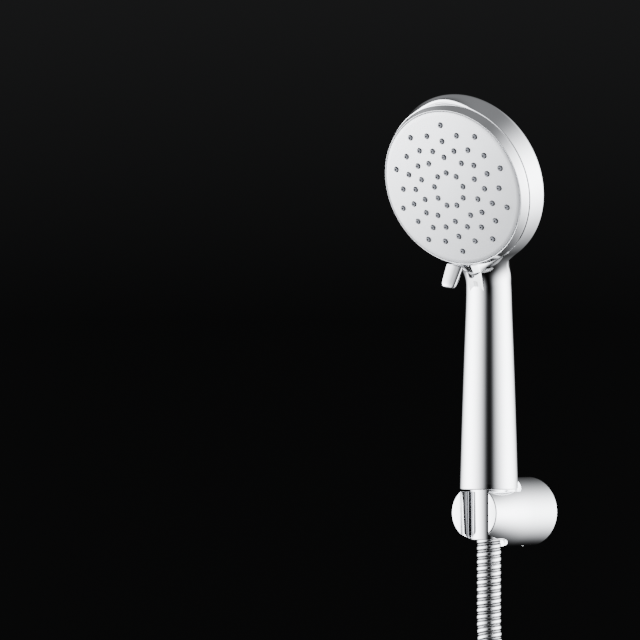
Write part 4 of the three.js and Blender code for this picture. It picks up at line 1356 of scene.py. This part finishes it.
@dataclass
class CarriedOver:
    """The pieces whose CAD shape is kept, each given its finish."""

    finishes: Finishes

    def build(self) -> None:
        """Gives every kept node a procedural material."""
        looks = {
            self.finishes.brass: ["wall_plate", "upper_ferrule"],
            self.finishes.steel: ["wall_screw_upper", "wall_screw_lower", "bracket_grub_screw",
                                  "centre_screw", "filter_screen"],
            self.finishes.rubber: ["inlet_o_ring", "tube_seal", "diverter_seal", "hose_washer",
                                   "hose_tie", "supply_washer"],
            self.finishes.plastic: ["inlet_connector", "flow_limiter", "waterway_tube", "distributor",
                                    "diverter_disc", "spray_chamber", "swivel_ring"],
        }
        for material, names in looks.items():
            for name in names:
                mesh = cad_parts[name].data
                mesh.materials.clear()
                mesh.materials.append(material)
                log.info("%s keeps its CAD shape", name)


@dataclass
class Studio:
    """A pale floor, a surround that lights the part softly from both sides, and the camera."""

    finishes: Finishes
    azimuth: float = 35.0
    distance: float = 6000.0
    lens: float = 527.3
    sensor: float = 36.0
    nearest: float = 0.1
    farthest: float = 60.0
    aim: tuple[float, float, float] = (-88.6, -107.7, 123.2)
    floor_radius: float = 170.0
    floor_depth: float = 14.0
    floor_below: float = 6.0
    floor_edge: float = 4.0
    side_light: float = 9.0
    side_power: float = 3.0
    level_power: float = 1.5
    overhead_light: float = 0.25
    dim_light: float = 0.004
    tint: tuple[float, float, float] = (0.955, 0.972, 1.0)

    def camera(self) -> None:
        """Sets a long level lens that looks at the part from its right-hand front."""
        turn = math.radians(self.azimuth)
        to_camera = np.array([math.sin(turn), -math.cos(turn), 0.0])
        data = bpy.data.cameras.new("camera")
        data.sensor_width = self.sensor
        data.lens = self.lens
        data.clip_start = self.nearest
        data.clip_end = self.farthest
        camera = bpy.data.objects.new("camera", data)
        bpy.context.scene.collection.objects.link(camera)
        camera.location = Vector((np.array(self.aim) + self.distance * to_camera) * MM)
        camera.rotation_mode = "QUATERNION"
        camera.rotation_quaternion = Vector(-to_camera).to_track_quat("-Z", "Y")
        bpy.context.scene.camera = camera

    def floor(self) -> None:
        """Builds a pale round floor under the coil, with rounded edges."""
        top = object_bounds()[0].z / MM - self.floor_below
        low, r = top - self.floor_depth, self.floor_radius
        profile = eased_solid([[0.0, top], [r, top], [r, low], [0.0, low]], self.floor_edge, 4)
        mesh = turned(profile, 96).mesh("floor")
        floor = bpy.data.objects.new("floor", mesh)
        bpy.context.scene.collection.objects.link(floor)
        mesh.materials.append(self.finishes.floor)
        mesh.shade_smooth()
        mesh.set_sharp_from_angle(angle=math.radians(40))
        floor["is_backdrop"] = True

    def surround(self) -> None:
        """Plain soft light from both sides, fading to a dim front, back, top and bottom.

        In a direction d its brightness is the side light times |d . side|^3 (1 - z^2)^1.5, where side
        points to the camera's right and z is d's height, plus the overhead light times z above the
        horizon, plus the dim light.
        """
        world = bpy.data.worlds.new("surround")
        bpy.context.scene.world = world
        world.use_nodes = True
        tree = world.node_tree
        where = tree.nodes.new("ShaderNodeTexCoord")
        split = tree.nodes.new("ShaderNodeSeparateXYZ")
        tree.links.new(where.outputs["Generated"], split.inputs[0])
        x, y, z = split.outputs
        turn = math.radians(self.azimuth)
        across = maths(tree, "MULTIPLY_ADD", x, math.cos(turn), maths(tree, "MULTIPLY", y, math.sin(turn)))
        sides = maths(tree, "POWER", maths(tree, "ABSOLUTE", across), self.side_power)
        level = maths(tree, "SUBTRACT", 1.0, maths(tree, "MULTIPLY", z, z))
        sides = maths(tree, "MULTIPLY", sides, maths(tree, "POWER", level, self.level_power))
        above = maths(tree, "MULTIPLY", maths(tree, "MAXIMUM", z, 0.0), self.overhead_light)
        glow = maths(tree, "MULTIPLY_ADD", sides, self.side_light, above)
        shader = tree.nodes["Background"]
        tree.links.new(maths(tree, "ADD", glow, self.dim_light), shader.inputs["Strength"])
        shader.inputs["Color"].default_value = (*self.tint, 1.0)

    def build(self) -> None:
        """Sets up the camera, the surround and the floor."""
        self.camera()
        self.surround()
        self.floor()


def main() -> None:
    """Builds every sub-assembly in order."""
    logging.basicConfig(level=logging.INFO, format="%(name)s: %(message)s")
    finishes = Finishes()
    for part in (Studio, Hose, Housing, SprayFace, Lever, Bracket, ConicalNut, CarriedOver):
        part(finishes).build()


if __name__ == "__main__":
    main()
